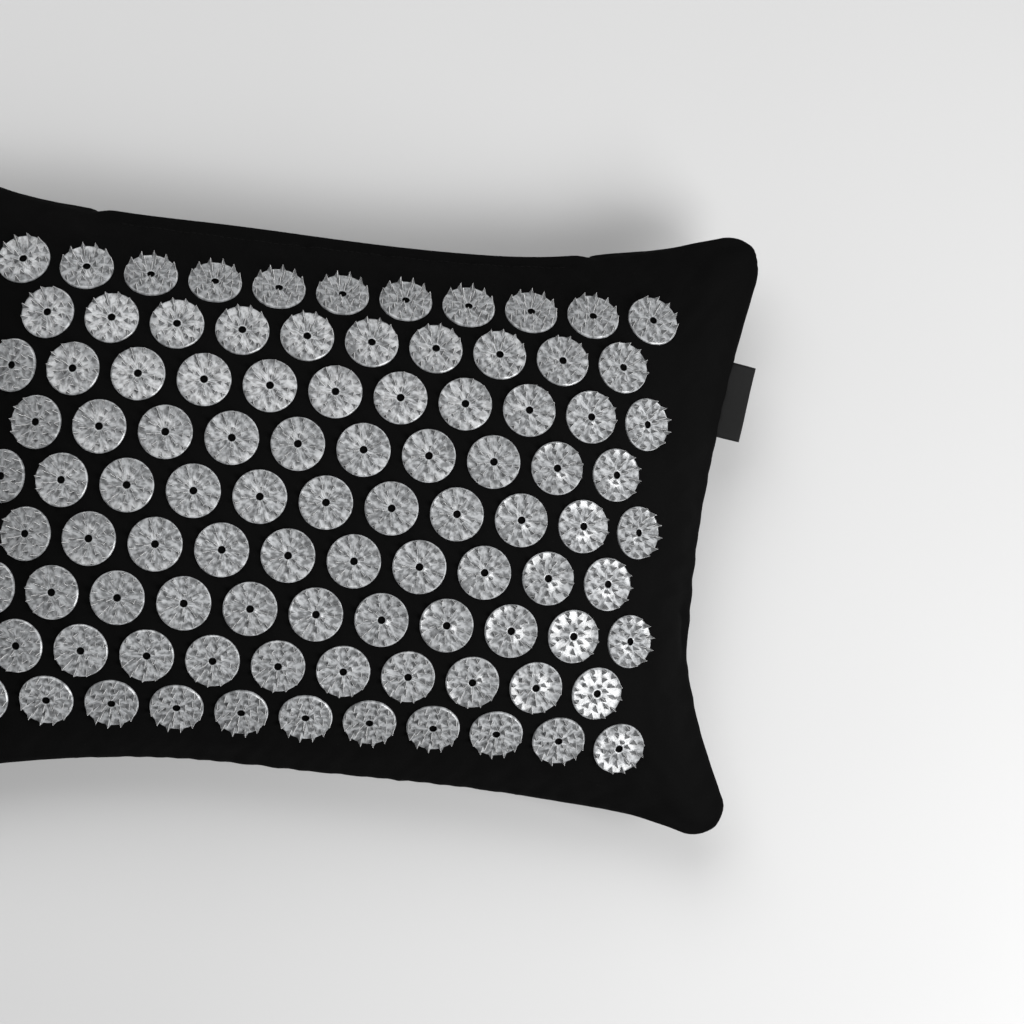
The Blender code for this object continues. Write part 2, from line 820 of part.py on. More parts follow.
def zip_slider(metal, parts, cutters):
    """The slider: two plates joined by a web, and the bail that carries the pull tab."""
    park = -chain_half_length + slider_park_gap + slider_length / 2
    place = zip_line() + Vector((park, 0.0, 0.0))
    body = slider_shell("zip_slider", 1, metal, parts)
    inner = slider_shell("slider_inner_plate", -1, metal, parts)
    web_x = -slider_length / 2 + slider_web_length
    web_size = (slider_web_length, 2 * slider_plate_face() - slider_plate, slider_web_thickness)
    web = box("slider_web", web_size, (web_x, 0.0, 0.0), metal, parts)
    bail = flat_piece("slider_bail", [bail_outline()], bail_width, metal, parts)
    bail.location = (0.0, slider_plate_face(), 0.0)
    for piece in (body, inner, web, bail):
        piece.location = Vector(piece.location) + place
    join_pieces(body, (web, inner, bail), cutters)
    return body


def pull_tab(slider, metal, parts):
    """The pull tab, which turns on its end bar under the bail."""
    end = pull_length - pull_bar_half
    slot_start = pull_bar_half
    slot_end = slot_start + pull_slot_length
    half = pull_width / 2
    tip = pull_tip_width / 2
    outline = [(-pull_bar_half, half), (-pull_bar_half, -half), (slot_end, -half),
               (end - tip, -tip), (end - tip / 3, -tip * 2 / 3), (end, -tip / 4),
               (end, tip / 4), (end - tip / 3, tip * 2 / 3), (end - tip, tip), (slot_end, half)]
    slot_half = pull_slot_width / 2
    slot = [(slot_start, slot_half), (slot_end, slot_half), (slot_end, -slot_half),
            (slot_start, -slot_half)]
    tab = flat_piece("zip_pull_tab", [outline, slot], pull_thickness, metal, parts)
    axis = Vector((0.0, slider_plate_face() + pull_axis_height, 0.0))
    return stand_up(tab, slider.location + axis)


# Side label

def side_label(cloth, parts):
    """A folded loop of woven tape, held in the seam of the right end."""
    low = label_middle - label_length / 2
    high = label_middle + label_length / 2
    root_low = Vector((cover_line.half_length(low), low))
    root_high = Vector((cover_line.half_length(high), high))
    run = (root_high - root_low).normalized()
    out = Vector((run.y, -run.x))
    leaf = label_fold_gap / 2 + label_cloth / 2
    reach = label_reach - label_cloth / 2
    start = label_seam_gap + bow_out(root_low, root_high, out)
    section = [(start, leaf), (reach - leaf, leaf), (reach, 0.0), (reach - leaf, -leaf),
               (start, -leaf)]
    bm = bmesh.new()
    ends = []
    for root in (root_low, root_low + run * label_length):
        ends.append([bm.verts.new((*(root + out * along), seam_height + z)) for along, z in section])
    for step in range(len(section) - 1):
        bm.faces.new((ends[0][step], ends[0][step + 1], ends[1][step + 1], ends[1][step]))
    mesh = bpy.data.meshes.new("side_label")
    bm.to_mesh(mesh)
    bm.free()
    mesh.materials.append(cloth)
    label = bpy.data.objects.new("side_label", mesh)
    parts.objects.link(label)
    shell = label.modifiers.new("cloth", "SOLIDIFY")
    shell.thickness = label_cloth
    shell.offset = 0.0
    return label


def drawn_half_length(y):
    """Half the panels' length as drawn, with straight runs between the seam line's points."""
    points = cover_line.quarter()
    for (x0, y0), (x1, y1) in zip(points, points[1:]):
        if y0 <= y <= y1:
            return x0 + (x1 - x0) * (y - y0) / (y1 - y0)
    return points[-1][0]


def bow_out(start, end, out):
    """How far the drawn seam bows out past the straight line between two of its points."""
    most = 0.0
    for step in range(march_steps + 1):
        y = start.y + (end.y - start.y) * step / march_steps
        most = max(most, (Vector((drawn_half_length(y), y)) - start).dot(out))
    return most


# The whole pad

def clear_scene():
    for item in list(bpy.data.objects):
        bpy.data.objects.remove(item)


def new_collection(name):
    collection = bpy.data.collections.new(name)
    bpy.context.scene.collection.children.link(collection)
    return collection


def build_pad():
    clear_scene()
    parts = new_collection("acupressure_pad")
    cutters = new_collection("joined_pieces")
    black_cloth = material("black_cloth", (0.006, 0.006, 0.007), 0.85)
    clear_plastic = material("pale_plastic", (0.46, 0.49, 0.50), 0.25)
    lining = material("white_lining", (0.78, 0.77, 0.74), 0.9)
    fibre = material("fibre", (0.88, 0.87, 0.84), 0.95)
    tape = material("zip_tape", (0.008, 0.008, 0.009), 0.8)
    teeth = material("zip_teeth", (0.012, 0.012, 0.013), 0.4)
    metal = material("zip_metal", (0.03, 0.03, 0.032), 0.35, 0.9)
    label = material("label_weave", (0.010, 0.010, 0.011), 0.6)
    for row in range(row_count):
        top_strip(row, black_cloth, clear_plastic, parts)
    bottom_panel(black_cloth, parts)
    inner_cushion(lining, fibre, parts)
    for word, side in (("upper", 1), ("lower", -1)):
        zip_tape(f"zip_tape_{word}", side, tape, parts)
        zip_teeth(f"zip_teeth_{word}", side, teeth, parts)
    zip_stops(metal, parts)
    slider = zip_slider(metal, parts, cutters)
    pull_tab(slider, metal, parts)
    side_label(label, parts)


build_pad()
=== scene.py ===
import math

import bmesh
import bpy
import numpy as np
from mathutils import Euler, Matrix, Vector, noise
from mathutils.bvhtree import BVHTree


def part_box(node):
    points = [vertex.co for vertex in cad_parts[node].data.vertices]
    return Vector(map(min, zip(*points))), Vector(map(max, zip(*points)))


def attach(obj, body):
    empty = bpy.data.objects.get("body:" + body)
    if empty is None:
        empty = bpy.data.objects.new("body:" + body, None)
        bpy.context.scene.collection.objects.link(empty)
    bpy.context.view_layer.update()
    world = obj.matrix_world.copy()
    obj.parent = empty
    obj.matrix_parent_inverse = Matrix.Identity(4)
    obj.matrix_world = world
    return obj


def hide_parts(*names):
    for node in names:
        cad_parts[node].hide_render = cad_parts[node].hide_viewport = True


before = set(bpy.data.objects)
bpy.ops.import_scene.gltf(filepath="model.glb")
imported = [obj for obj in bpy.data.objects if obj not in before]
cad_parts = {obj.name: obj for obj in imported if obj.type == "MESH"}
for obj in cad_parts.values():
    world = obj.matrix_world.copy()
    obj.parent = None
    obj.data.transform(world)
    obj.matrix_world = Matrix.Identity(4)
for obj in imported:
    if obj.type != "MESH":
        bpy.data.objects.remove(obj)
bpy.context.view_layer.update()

# Stuffed acupressure pad: black cover, spiked discs, side label, zip, inner cushion.
# Metres, rows of discs along X, Z up, as the frame has it.


# Small helpers

def report(words):
    print("[pad]", words)


def addToScene(name, data):
    thing = bpy.data.objects.new(name, data)
    bpy.context.scene.collection.objects.link(thing)
    return thing


def addPiece(name, mesh, finish=None, crease=None):
    # smooth all over, but for edges that are sharper than the crease in degrees
    if finish:
        mesh.materials.append(finish)
    mesh.shade_smooth()
    if crease:
        mesh.set_sharp_from_angle(angle=math.radians(crease))
    return addToScene(name, mesh)


def fromFaces(name, points, faces, finish=None):
    mesh = bpy.data.meshes.new(name)
    mesh.from_pydata([tuple(point) for point in points], [], [tuple(face) for face in faces])
    return addPiece(name, mesh, finish)


def fromBmesh(name, bm, finish=None, crease=None):
    mesh = bpy.data.meshes.new(name)
    bm.to_mesh(mesh)
    bm.free()
    return addPiece(name, mesh, finish, crease)


def bakeModifiers(piece, finish):
    # the evaluated shape becomes the piece's own mesh, with one finish on every face
    bpy.context.view_layer.update()
    graph = bpy.context.evaluated_depsgraph_get()
    mesh = bpy.data.meshes.new_from_object(piece.evaluated_get(graph), depsgraph=graph)
    mesh.materials.clear()
    mesh.materials.append(finish)
    piece.modifiers.clear()
    piece.data = mesh
    return piece


def addCutMap(piece, flat):
    # places on the flat cloth in metres, so that the weave lies along the panel
    corners = np.empty(len(piece.data.loops), int)
    piece.data.loops.foreach_get("vertex_index", corners)
    piece.data.uv_layers.new(name="cut").data.foreach_set("uv", flat[corners].ravel())


def forget(*things):
    for thing in things:
        bpy.data.objects.remove(thing)


def smoothStep(x, low, high):
    t = np.clip((x - low) / (high - low), 0.0, 1.0)
    return t * t * (3.0 - 2.0 * t)


def hump(x, middle, spread):
    return np.exp(-((x - middle) / spread) ** 2)


# Shader sums written as Python sums

class Wire:
    def __init__(self, sheet, socket):
        self.sheet = sheet
        self.socket = socket

    def __add__(self, other):
        return self.sheet.maths("ADD", self, other)

    def __radd__(self, other):
        return self.sheet.maths("ADD", other, self)

    def __sub__(self, other):
        return self.sheet.maths("SUBTRACT", self, other)

    def __rsub__(self, other):
        return self.sheet.maths("SUBTRACT", other, self)

    def __mul__(self, other):
        return self.sheet.maths("MULTIPLY", self, other)

    def __rmul__(self, other):
        return self.sheet.maths("MULTIPLY", other, self)

    def __truediv__(self, other):
        return self.sheet.maths("DIVIDE", self, other)

    def __rtruediv__(self, other):
        return self.sheet.maths("DIVIDE", other, self)


class NodeSheet:
    # one node tree, of a material, the world or a modifier
    def __init__(self, tree):
        self.tree = tree

    def place(self, kind, settings=None, values=None):
        node = self.tree.nodes.new(kind)
        for key, value in (settings or {}).items():
            setattr(node, key, value)
        for key, value in (values or {}).items():
            self.feed(self.pick(node.inputs, key), value)
        return node

    def node(self, kind, settings=None, values=None, out=0):
        node = self.place(kind, settings, values)
        return Wire(self, self.pick(node.outputs, out))

    def pick(self, sockets, key):
        if isinstance(key, int):
            return sockets[key]
        for socket in sockets:
            if socket.identifier == key:
                return socket
        return next(socket for socket in sockets if socket.name == key and socket.enabled)

    def feed(self, socket, value):
        if isinstance(value, Wire):
            self.tree.links.new(value.socket, socket)
        else:
            socket.default_value = value

    def maths(self, operation, *values):
        return self.node("ShaderNodeMath", {"operation": operation}, dict(enumerate(values)))

    def sine(self, wire):
        return self.maths("SINE", wire)

    def clamped(self, wire, low, high):
        return self.node("ShaderNodeMapRange", {"clamp": True},
                         {"Value": wire, "From Min": low, "From Max": high})

    def mixColour(self, factor, first, second):
        return self.node("ShaderNodeMix", {"data_type": "RGBA"},
                         {"Factor_Float": factor, "A_Color": first, "B_Color": second},
                         "Result_Color")

    def noise(self, vector, scale, detail=3.0, roughness=0.55):
        return self.node("ShaderNodeTexNoise", None,
                         {"Vector": vector, "Scale": scale, "Detail": detail,
                          "Roughness": roughness}, "Fac")

    def spot(self):
        return self.node("ShaderNodeTexCoord", None, None, "Object")

    def cut(self):
        return self.node("ShaderNodeUVMap", {"uv_map": "cut"}, None, "UV")

    def axes(self, vector):
        parts = self.place("ShaderNodeSeparateXYZ", None, {"Vector": vector})
        return [Wire(self, socket) for socket in parts.outputs]

    def length(self, vector):
        return self.node("ShaderNodeVectorMath", {"operation": "LENGTH"}, {0: vector}, "Value")


class Finish(NodeSheet):
    # the sheet of a new material, with the steady values set on its shader
    def __init__(self, name, steady):
        self.material = bpy.data.materials.new(name)
        self.material.use_nodes = True
        super().__init__(self.material.node_tree)
        self.shader = self.tree.nodes["Principled BSDF"]
        for key, value in steady.items():
            self.shader.inputs[key].default_value = value

    def dress(self, sizes, tone, wear, height):
        # colour, roughness that follows the wear, and relief; gives the material back
        self.feed(self.shader.inputs["Base Color"], tone)
        self.feed(self.shader.inputs["Roughness"],
                  sizes["roughness"] + wear * sizes["roughnessSpread"])
        bump = self.node("ShaderNodeBump", None, {
            "Height": height, "Strength": sizes["bump"], "Distance": sizes["bumpDepth"]}, "Normal")
        self.feed(self.shader.inputs["Normal"], bump)
        return self.material


def grey(value, warm=0.0):
    return (value * (1 + warm), value, value * (1 - warm), 1.0)


def weaveHeight(sheet, cut, pitch):
    # plain weave: two thread waves that take turns on top
    across, along, _ = sheet.axes(cut)
    warp = sheet.sine(across * (math.tau / pitch))
    weft = sheet.sine(along * (math.tau / pitch))
    return (sheet.maths("ABSOLUTE", warp) * 0.5 + sheet.maths("ABSOLUTE", weft) * 0.5
            + warp * weft * 0.35)


# Finishes

clothFinish = dict(
    tone=0.0009, fade=0.0021, rubbed=1.3, lint=0.007, sheen=0.003, sheenRoughness=0.45,
    shine=0.04, threadPitch=0.00062, weaveShare=0.35, slubScale=(1400.0, 90.0, 1.0),
    cloudScale=14.0, lintScale=900.0, lintRange=(0.73, 0.80), lintShare=0.5, fuzzScale=260.0,
    weaveRise=0.7, slubRise=0.5, fuzzRise=0.4, roughness=0.88, roughnessSpread=0.16,
    bump=0.30, bumpDepth=0.0004)


def coverCloth():
    s = clothFinish
    sheet = Finish("black_cover_cloth", {
        "Sheen Weight": s["sheen"], "Sheen Roughness": s["sheenRoughness"],
        "Specular IOR Level": s["shine"]})
    cut, spot = sheet.cut(), sheet.spot()
    weave = weaveHeight(sheet, cut, s["threadPitch"])
    drawn = sheet.node("ShaderNodeMapping", None, {"Vector": cut, "Scale": s["slubScale"]})
    slub = sheet.noise(drawn, 1.0, 2.0)
    cloud = sheet.noise(spot, s["cloudScale"], 4.0)
    lint = sheet.clamped(sheet.noise(spot, s["lintScale"], 1.0), *s["lintRange"])
    tone = sheet.mixColour(cloud, grey(s["tone"]), grey(s["fade"]))
    tone = sheet.mixColour(weave * s["weaveShare"], tone, grey(s["fade"] * s["rubbed"]))
    tone = sheet.mixColour(lint * s["lintShare"], tone, grey(s["lint"]))
    height = (weave * s["weaveRise"] + slub * s["slubRise"]
              + sheet.noise(spot, s["fuzzScale"], 3.0) * s["fuzzRise"])
    return sheet.dress(s, tone, cloud - 0.5, height)


# the spikes' two tones are painted shade, the arris tone is a painted highlight, and the hole's tone
# is painted shade
plasticFinish = dict(
    plate=0.41, streak=0.165, spikeShadeDark=0.022, spikeShadeLight=0.18, edge=0.72, well=0.003,
    cool=-0.024, ior=1.50, shine=0.55, wrapRadius=3.2, wrapRise=230.0, wrapStep=40.0,
    streakScale=1.7, streakRange=(0.38, 0.60), fleckScale=900.0, fleckRange=(0.42, 0.62),
    discSpread=0.25, streakRise=0.6, fleckRise=0.3, roughness=0.18, roughnessSpread=0.16,
    bump=0.22, bumpDepth=0.0002)


def discPlastic():
    # pale clear plastic: bright flats; the spikes' steep faces dark, partly the black cloth seen
    # through them and partly painted shade of the shaded spike faces; a painted highlight on the
    # spikes' bevelled arrises, and painted shade with the black cloth seen through on the hole's
    # wall
    s = plasticFinish
    sheet = Finish("pale_clear_plastic", {"IOR": s["ior"], "Specular IOR Level": s["shine"]})
    spot = sheet.node("ShaderNodeAttribute", {"attribute_name": "discSpot"}, None, "Vector")
    disc, spike, edge, well = (
        sheet.node("ShaderNodeAttribute", {"attribute_name": name}, None, "Fac")
        for name in ("discTone", "spikeShare", "arrisHighlightShare", "holeShadeShare"))
    x, y, _ = sheet.axes(spot)
    angle = sheet.maths("ARCTAN2", y, x)
    wrapped = sheet.node("ShaderNodeCombineXYZ", None, {
        "X": sheet.sine(angle) * s["wrapRadius"],
        "Y": sheet.maths("COSINE", angle) * s["wrapRadius"],
        "Z": sheet.length(spot) * s["wrapRise"] + disc * s["wrapStep"]})
    streaks = sheet.noise(wrapped, s["streakScale"], 2.0, 0.5)
    flecks = sheet.noise(spot, s["fleckScale"], 2.0)
    streak = grey(s["streak"], s["cool"])
    plate = sheet.mixColour(sheet.clamped(streaks, *s["streakRange"]), streak,
                            grey(s["plate"], s["cool"]))
    plate = sheet.mixColour(disc * s["discSpread"], plate, streak)
    # painted shade on the spikes' steep faces, with the black cloth seen through the clear plastic,
    # flecked
    spikeShadeTone = sheet.mixColour(sheet.clamped(flecks, *s["fleckRange"]), grey(s["spikeShadeDark"]),
                            grey(s["spikeShadeLight"]))
    body = sheet.mixColour(spike, plate, spikeShadeTone)
    # painted highlight on the spikes' bevelled arrises
    body = sheet.mixColour(edge, body, grey(s["edge"]))
    # painted shade on the hole's wall, with the black cloth seen through the clear plastic
    body = sheet.mixColour(well, body, grey(s["well"]))
    height = streaks * s["streakRise"] + flecks * s["fleckRise"]
    return sheet.dress(s, body, streaks - 0.5, height)


liningFinish = dict(
    dull=(0.68, 0.67, 0.63, 1.0), bright=(0.80, 0.79, 0.76, 1.0), sheen=0.1,
    threadPitch=0.0009, cloudScale=18.0, fuzzScale=300.0, fuzzRise=0.6,
    roughness=0.82, roughnessSpread=0.14, bump=0.3, bumpDepth=0.0004)


def liningCloth():
    s = liningFinish
    sheet = Finish("white_lining_cloth", {"Sheen Weight": s["sheen"]})
    spot = sheet.spot()
    cloud = sheet.noise(spot, s["cloudScale"], 4.0)
    height = (weaveHeight(sheet, sheet.cut(), s["threadPitch"])
              + sheet.noise(spot, s["fuzzScale"]) * s["fuzzRise"])
    return sheet.dress(s, sheet.mixColour(cloud, s["dull"], s["bright"]), cloud, height)


fibreFinish = dict(
    dull=(0.70, 0.69, 0.66, 1.0), bright=(0.90, 0.89, 0.87, 1.0), sheen=0.35,
    combed=(1.0, 3.5, 2.0), strandScale=160.0, tuftScale=42.0, tuftRise=1.5,
    roughness=0.85, roughnessSpread=0.1, bump=0.7, bumpDepth=0.002)


def fibreFluff():
    s = fibreFinish
    sheet = Finish("white_fibre", {"Sheen Weight": s["sheen"]})
    spot = sheet.spot()
    bent = sheet.node("ShaderNodeVectorMath", {"operation": "MULTIPLY"}, {0: spot, 1: s["combed"]})
    strands = sheet.noise(bent, s["strandScale"], 8.0, 0.75)
    height = strands + sheet.noise(spot, s["tuftScale"]) * s["tuftRise"]
    return sheet.dress(s, sheet.mixColour(strands, s["dull"], s["bright"]), strands, height)


tapeFinish = dict(
    dark=0.006, light=0.014, sheen=0.08, zigzag=0.0012, ribPitch=0.0008, cloudScale=220.0,
    ribRise=0.5, cloudRise=0.4, roughness=0.72, roughnessSpread=0.2, bump=0.4, bumpDepth=0.0003)


def tapeWeave():
    # herringbone of the zip's tape, in the plane of its length and height
    s = tapeFinish
    sheet = Finish("black_zip_tape", {"Sheen Weight": s["sheen"]})
    spot = sheet.spot()
    x, _, z = sheet.axes(spot)
    ribs = sheet.sine((x + sheet.maths("PINGPONG", z, s["zigzag"])) * (math.tau / s["ribPitch"]))
    cloud = sheet.noise(spot, s["cloudScale"])
    tone = sheet.mixColour(sheet.clamped(ribs, -1.0, 1.0), grey(s["dark"]), grey(s["light"]))
    return sheet.dress(s, tone, cloud, ribs * s["ribRise"] + cloud * s["cloudRise"])


metalFinish = dict(
    dark=0.014, light=0.034, bare=0.16, bareWarm=0.02, shine=0.5, wearScale=620.0,
    wearRange=(0.60, 0.68), scuffScale=260.0, metallic=0.25, metallicSpread=0.6,
    wearPolish=0.6, roughness=0.44, roughnessSpread=0.2, bump=0.12, bumpDepth=0.0002)


def paintedZinc():
    # dark painted zinc, with the paint worn off in small patches
    s = metalFinish
    sheet = Finish("dark_zip_metal", {"Specular IOR Level": s["shine"]})
    spot = sheet.spot()
    wear = sheet.clamped(sheet.noise(spot, s["wearScale"], 6.0, 0.75), *s["wearRange"])
    scuffs = sheet.noise(spot, s["scuffScale"], 5.0, 0.7)
    tone = sheet.mixColour(scuffs, grey(s["dark"]), grey(s["light"]))
    tone = sheet.mixColour(wear, tone, grey(s["bare"], s["bareWarm"]))
    sheet.feed(sheet.shader.inputs["Metallic"], s["metallic"] + wear * s["metallicSpread"])
    return sheet.dress(s, tone, scuffs - 0.5 - wear * s["wearPolish"], scuffs)


labelFinish = dict(
    dark=0.0026, light=0.0050, rib=0.0085, ribShare=0.4, sheen=0.01, shine=0.16,
    threadPitch=0.00042, cloudScale=340.0, roughness=0.62, roughnessSpread=0.2,
    bump=0.35, bumpDepth=0.0002)


def labelWeave():
    # satin tape with fine ribs across it
    s = labelFinish
    sheet = Finish("black_label_weave", {"Sheen Weight": s["sheen"],
                                         "Specular IOR Level": s["shine"]})
    cut = sheet.cut()
    weave = weaveHeight(sheet, cut, s["threadPitch"])
    cloud = sheet.noise(cut, s["cloudScale"], 4.0)
    tone = sheet.mixColour(cloud, grey(s["dark"]), grey(s["light"]))
    tone = sheet.mixColour(weave * s["ribShare"], tone, grey(s["rib"]))
    return sheet.dress(s, tone, cloud, weave)


teethFinish = dict(dark=0.004, light=0.011, shine=0.35, grainScale=700.0, grainDetail=3.0,
                   roughness=0.3, roughnessSpread=0.22, bump=0.15, bumpDepth=0.0002)
threadFinish = dict(dark=0.0012, light=0.0036, shine=0.06, grainScale=2600.0, grainDetail=2.0,
                    roughness=0.55, roughnessSpread=0.25, bump=0.3, bumpDepth=0.0002)


def blackGrain(name, s):
    # moulded or spun plastic: one fine grain for tone, roughness and relief
    sheet = Finish(name, {"Specular IOR Level": s["shine"]})
    grain = sheet.noise(sheet.spot(), s["grainScale"], s["grainDetail"])
    return sheet.dress(s, sheet.mixColour(grain, grey(s["dark"]), grey(s["light"])), grain, grain)


# Shape of the pad, from the frame's box and a few sizes of it

padShape = dict(
    sideDrawIn=0.0178, endDrawIn=0.0192, cornerRadius=0.0145, crownHeight=0.051,
    seamHeight=0.041, sideBendPower=3.3, endBendPower=2.1, crownPowerAlong=4.6,
    crownPowerAcross=3.5, floorBlend=0.004, cornerSteps=40, edgeSamples=801)


def meetCorner(centreAlong, centreAcross, start, power, radius):
    # where a drawn-in side runs into the corner's arc
    angle = 0.0
    for _ in range(padShape["cornerSteps"]):
        along = centreAlong - radius * math.sin(angle)
        across = centreAcross + radius * math.cos(angle)
        angle = math.atan(power * (across - start) / along)
    return along, across


class Outline:
    # the pad's edge seen from above: bent sides and ends between round corners
    def __init__(self, halfLength, halfWidth, inset=0.0):
        s = padShape
        self.r = s["cornerRadius"]
        self.tipX, self.tipY = halfLength - inset, halfWidth - inset
        self.midX, self.midY = self.tipX - s["endDrawIn"], self.tipY - s["sideDrawIn"]
        self.cx, self.cy = self.tipX - self.r, self.tipY - self.r
        self.sideX, self.sideY = meetCorner(self.cx, self.cy, self.midY, s["sideBendPower"], self.r)
        self.endY, self.endX = meetCorner(self.cy, self.cx, self.midX, s["endBendPower"], self.r)

    def bent(self, t, power, meet, middle, reach, centre, centreOut):
        # distance out at t along: a power curve up to the place of meeting, then the arc
        t = np.abs(t)
        plain = middle + (reach - middle) * np.minimum(t / meet, 1.0) ** power
        turn = np.minimum(t - centre, self.r)
        arc = centreOut + np.sqrt(np.maximum(self.r ** 2 - turn ** 2, 0.0))
        return np.where(t <= meet, plain, arc)

    def halfWidth(self, x):
        return self.bent(x, padShape["sideBendPower"], self.sideX, self.midY, self.sideY,
                         self.cx, self.cy)

    def halfLength(self, y):
        return self.bent(y, padShape["endBendPower"], self.endY, self.midX, self.endX,
                         self.cy, self.cx)

    def crown(self, x, y):
        outX = np.minimum(np.abs(x) / self.halfLength(y), 1.0)
        outY = np.minimum(np.abs(y) / self.halfWidth(x), 1.0)
        return ((1 - outX ** padShape["crownPowerAlong"])
                * (1 - outY ** padShape["crownPowerAcross"]))

    def evenly(self, points, shares):
        points = np.array(points)
        steps = np.linalg.norm(np.diff(points, axis=0), axis=1)
        run = np.concatenate(([0.0], np.cumsum(steps))) / steps.sum()
        return np.stack([np.interp(shares, run, points[:, k]) for k in (0, 1)], axis=1)

    def panel(self, along, across):
        # grid of places over the ground, from shares 0 to 1 of the way along and across
        corner = np.array((self.cx, self.cy)) + self.r * math.sqrt(0.5)
        xs, ys = (np.linspace(-c, c, padShape["edgeSamples"]) for c in corner)
        side = self.evenly([(x, float(self.halfWidth(x))) for x in xs], along)
        end = self.evenly([(float(self.halfLength(y)), y) for y in ys], across)
        u, v = along[:, None, None], across[None, :, None]
        top, bottom = side[:, None, :], side[:, None, :] * np.array([1.0, -1.0])
        right, left = end[None, :, :], end[None, :, :] * np.array([-1.0, 1.0])
        corners = 0.0
        for shareU, signX in ((u, 1.0), (1 - u, -1.0)):
            for shareV, signY in ((v, 1.0), (1 - v, -1.0)):
                corners = corners + shareU * shareV * corner * np.array([signX, signY])
        return v * top + (1 - v) * bottom + u * right + (1 - u) * left - corners


padLow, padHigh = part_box("bottom_panel")
coverOutline = Outline((padHigh[0] - padLow[0]) / 2, (padHigh[1] - padLow[1]) / 2)


def coverTop(x, y):
    return padShape["seamHeight"] + padShape["crownHeight"] * coverOutline.crown(x, y)


def coverBottom(x, y):
    fall = padShape["seamHeight"] - padShape["crownHeight"] * coverOutline.crown(x, y)
    soft = padShape["floorBlend"]
    return np.maximum(0.0, 0.5 * (fall + np.sqrt(fall ** 2 + soft ** 2)) - 0.5 * soft)


# Where the discs sit: rows and columns measured over the cloth

discLayout = dict(pitch=0.0314, rowPitch=0.0267, rows=9, longRow=11, shortRow=10,
                  sideGather=0.015, walkSteps=60, slopeStep=0.0001)


def slopes(x, y):
    h = discLayout["slopeStep"]
    return (float(coverTop(x + h, y) - coverTop(x - h, y)) / (2 * h),
            float(coverTop(x, y + h) - coverTop(x, y - h)) / (2 * h))


def walkCloth(distance, slopeAt):
    place = 0.0
    for _ in range(discLayout["walkSteps"]):
        place += distance / discLayout["walkSteps"] / math.hypot(1.0, slopeAt(place))
    return place


def clothPlace(along, across):
    edge = (discLayout["rows"] // 2) * discLayout["rowPitch"]
    gathered = along * (1 - discLayout["sideGather"] * (across / edge) ** 2)
    middleY = walkCloth(across, lambda y: slopes(0.0, y)[1])
    x = walkCloth(gathered, lambda px: slopes(px, middleY)[0])
    y = walkCloth(across, lambda py: slopes(x, py)[1])
    return walkCloth(gathered, lambda px: slopes(px, y)[0]), y


def discSeats():
    seats = []
    for row in range(discLayout["rows"]):
        count = discLayout["longRow"] if row % 2 == 0 else discLayout["shortRow"]
        across = (discLayout["rows"] // 2 - row) * discLayout["rowPitch"]
        for step in range(count):
            along = (step - (count - 1) / 2) * discLayout["pitch"]
            x, y = clothPlace(along, across)
            slopeX, slopeY = slopes(x, y)
            normal = Vector((-slopeX, -slopeY, 1.0)).normalized()
            seats.append((Vector((x, y, float(coverTop(x, y)))), normal))
    return seats


# The cover: a panel grid that is swollen as cloth, then sampled finely and sewn

clothSettings = {
    "quality": 8, "mass": 0.15, "tension_stiffness": 12.0, "compression_stiffness": 12.0,
    "shear_stiffness": 4.0, "bending_stiffness": 0.15, "vertex_group_mass": "held",
    "use_pressure": True, "uniform_pressure_force": 4.0, "shrink_min": -0.012}
coverSizes = dict(
    simAlong=84, simAcross=60, swellCap=0.0045, frames=20, discFieldX=0.168, discFieldY=0.118,
    floorTouch=0.001, fineStep=0.0026,
    seamRows=(0.0, 0.0006, 0.0012, 0.0019, 0.0027, 0.0036, 0.0047, 0.0062, 0.0082, 0.0106))


def swellAsCloth(verts, faces, held):
    # cloth under a little pressure between the discs' field and the flat underside
    pad = fromFaces("swelling_cover", verts, faces)
    group = pad.vertex_groups.new(name="held")
    group.add([int(k) for k in np.nonzero(held)[0]], 1.0, "REPLACE")
    cloth = pad.modifiers.new("swell", "CLOTH")
    for key, value in clothSettings.items():
        setattr(cloth.settings, key, value)
    cloth.settings.effector_weights.gravity = 0.0
    cloth.collision_settings.use_collision = False
    cloth.collision_settings.use_self_collision = False
    cloth.point_cache.frame_start = 1
    cloth.point_cache.frame_end = coverSizes["frames"]
    for step in range(1, coverSizes["frames"] + 1):
        bpy.context.scene.frame_set(step)
    graph = bpy.context.evaluated_depsgraph_get()
    swollen = pad.evaluated_get(graph).data
    places = np.empty(len(swollen.vertices) * 3)
    swollen.vertices.foreach_get("co", places)
    bpy.context.scene.frame_set(1)
    forget(pad)
    move = places.reshape(-1, 3) - verts
    length = np.linalg.norm(move, axis=1, keepdims=True)
    cap = coverSizes["swellCap"]
    return verts + move * (cap * np.tanh(length / cap) / np.maximum(length, 1e-9))


def quadGrid(index):
    rows, columns = index.shape
    return [(index[i, j], index[i + 1, j], index[i + 1, j + 1], index[i, j + 1])
            for i in range(rows - 1) for j in range(columns - 1)]


def closedPanels(top, bottom):
    # one list of points and faces for two grids that share their edge
    rows, columns = top.shape[:2]
    over = np.arange(rows * columns).reshape(rows, columns)
    inner = np.zeros((rows, columns), bool)
    inner[1:-1, 1:-1] = True
    under = over.copy()
    under[inner] = rows * columns + np.arange(inner.sum())
    points = np.concatenate([top.reshape(-1, 3), bottom[inner]])
    faces = quadGrid(over) + [face[::-1] for face in quadGrid(under)]
    return points, faces, over, under


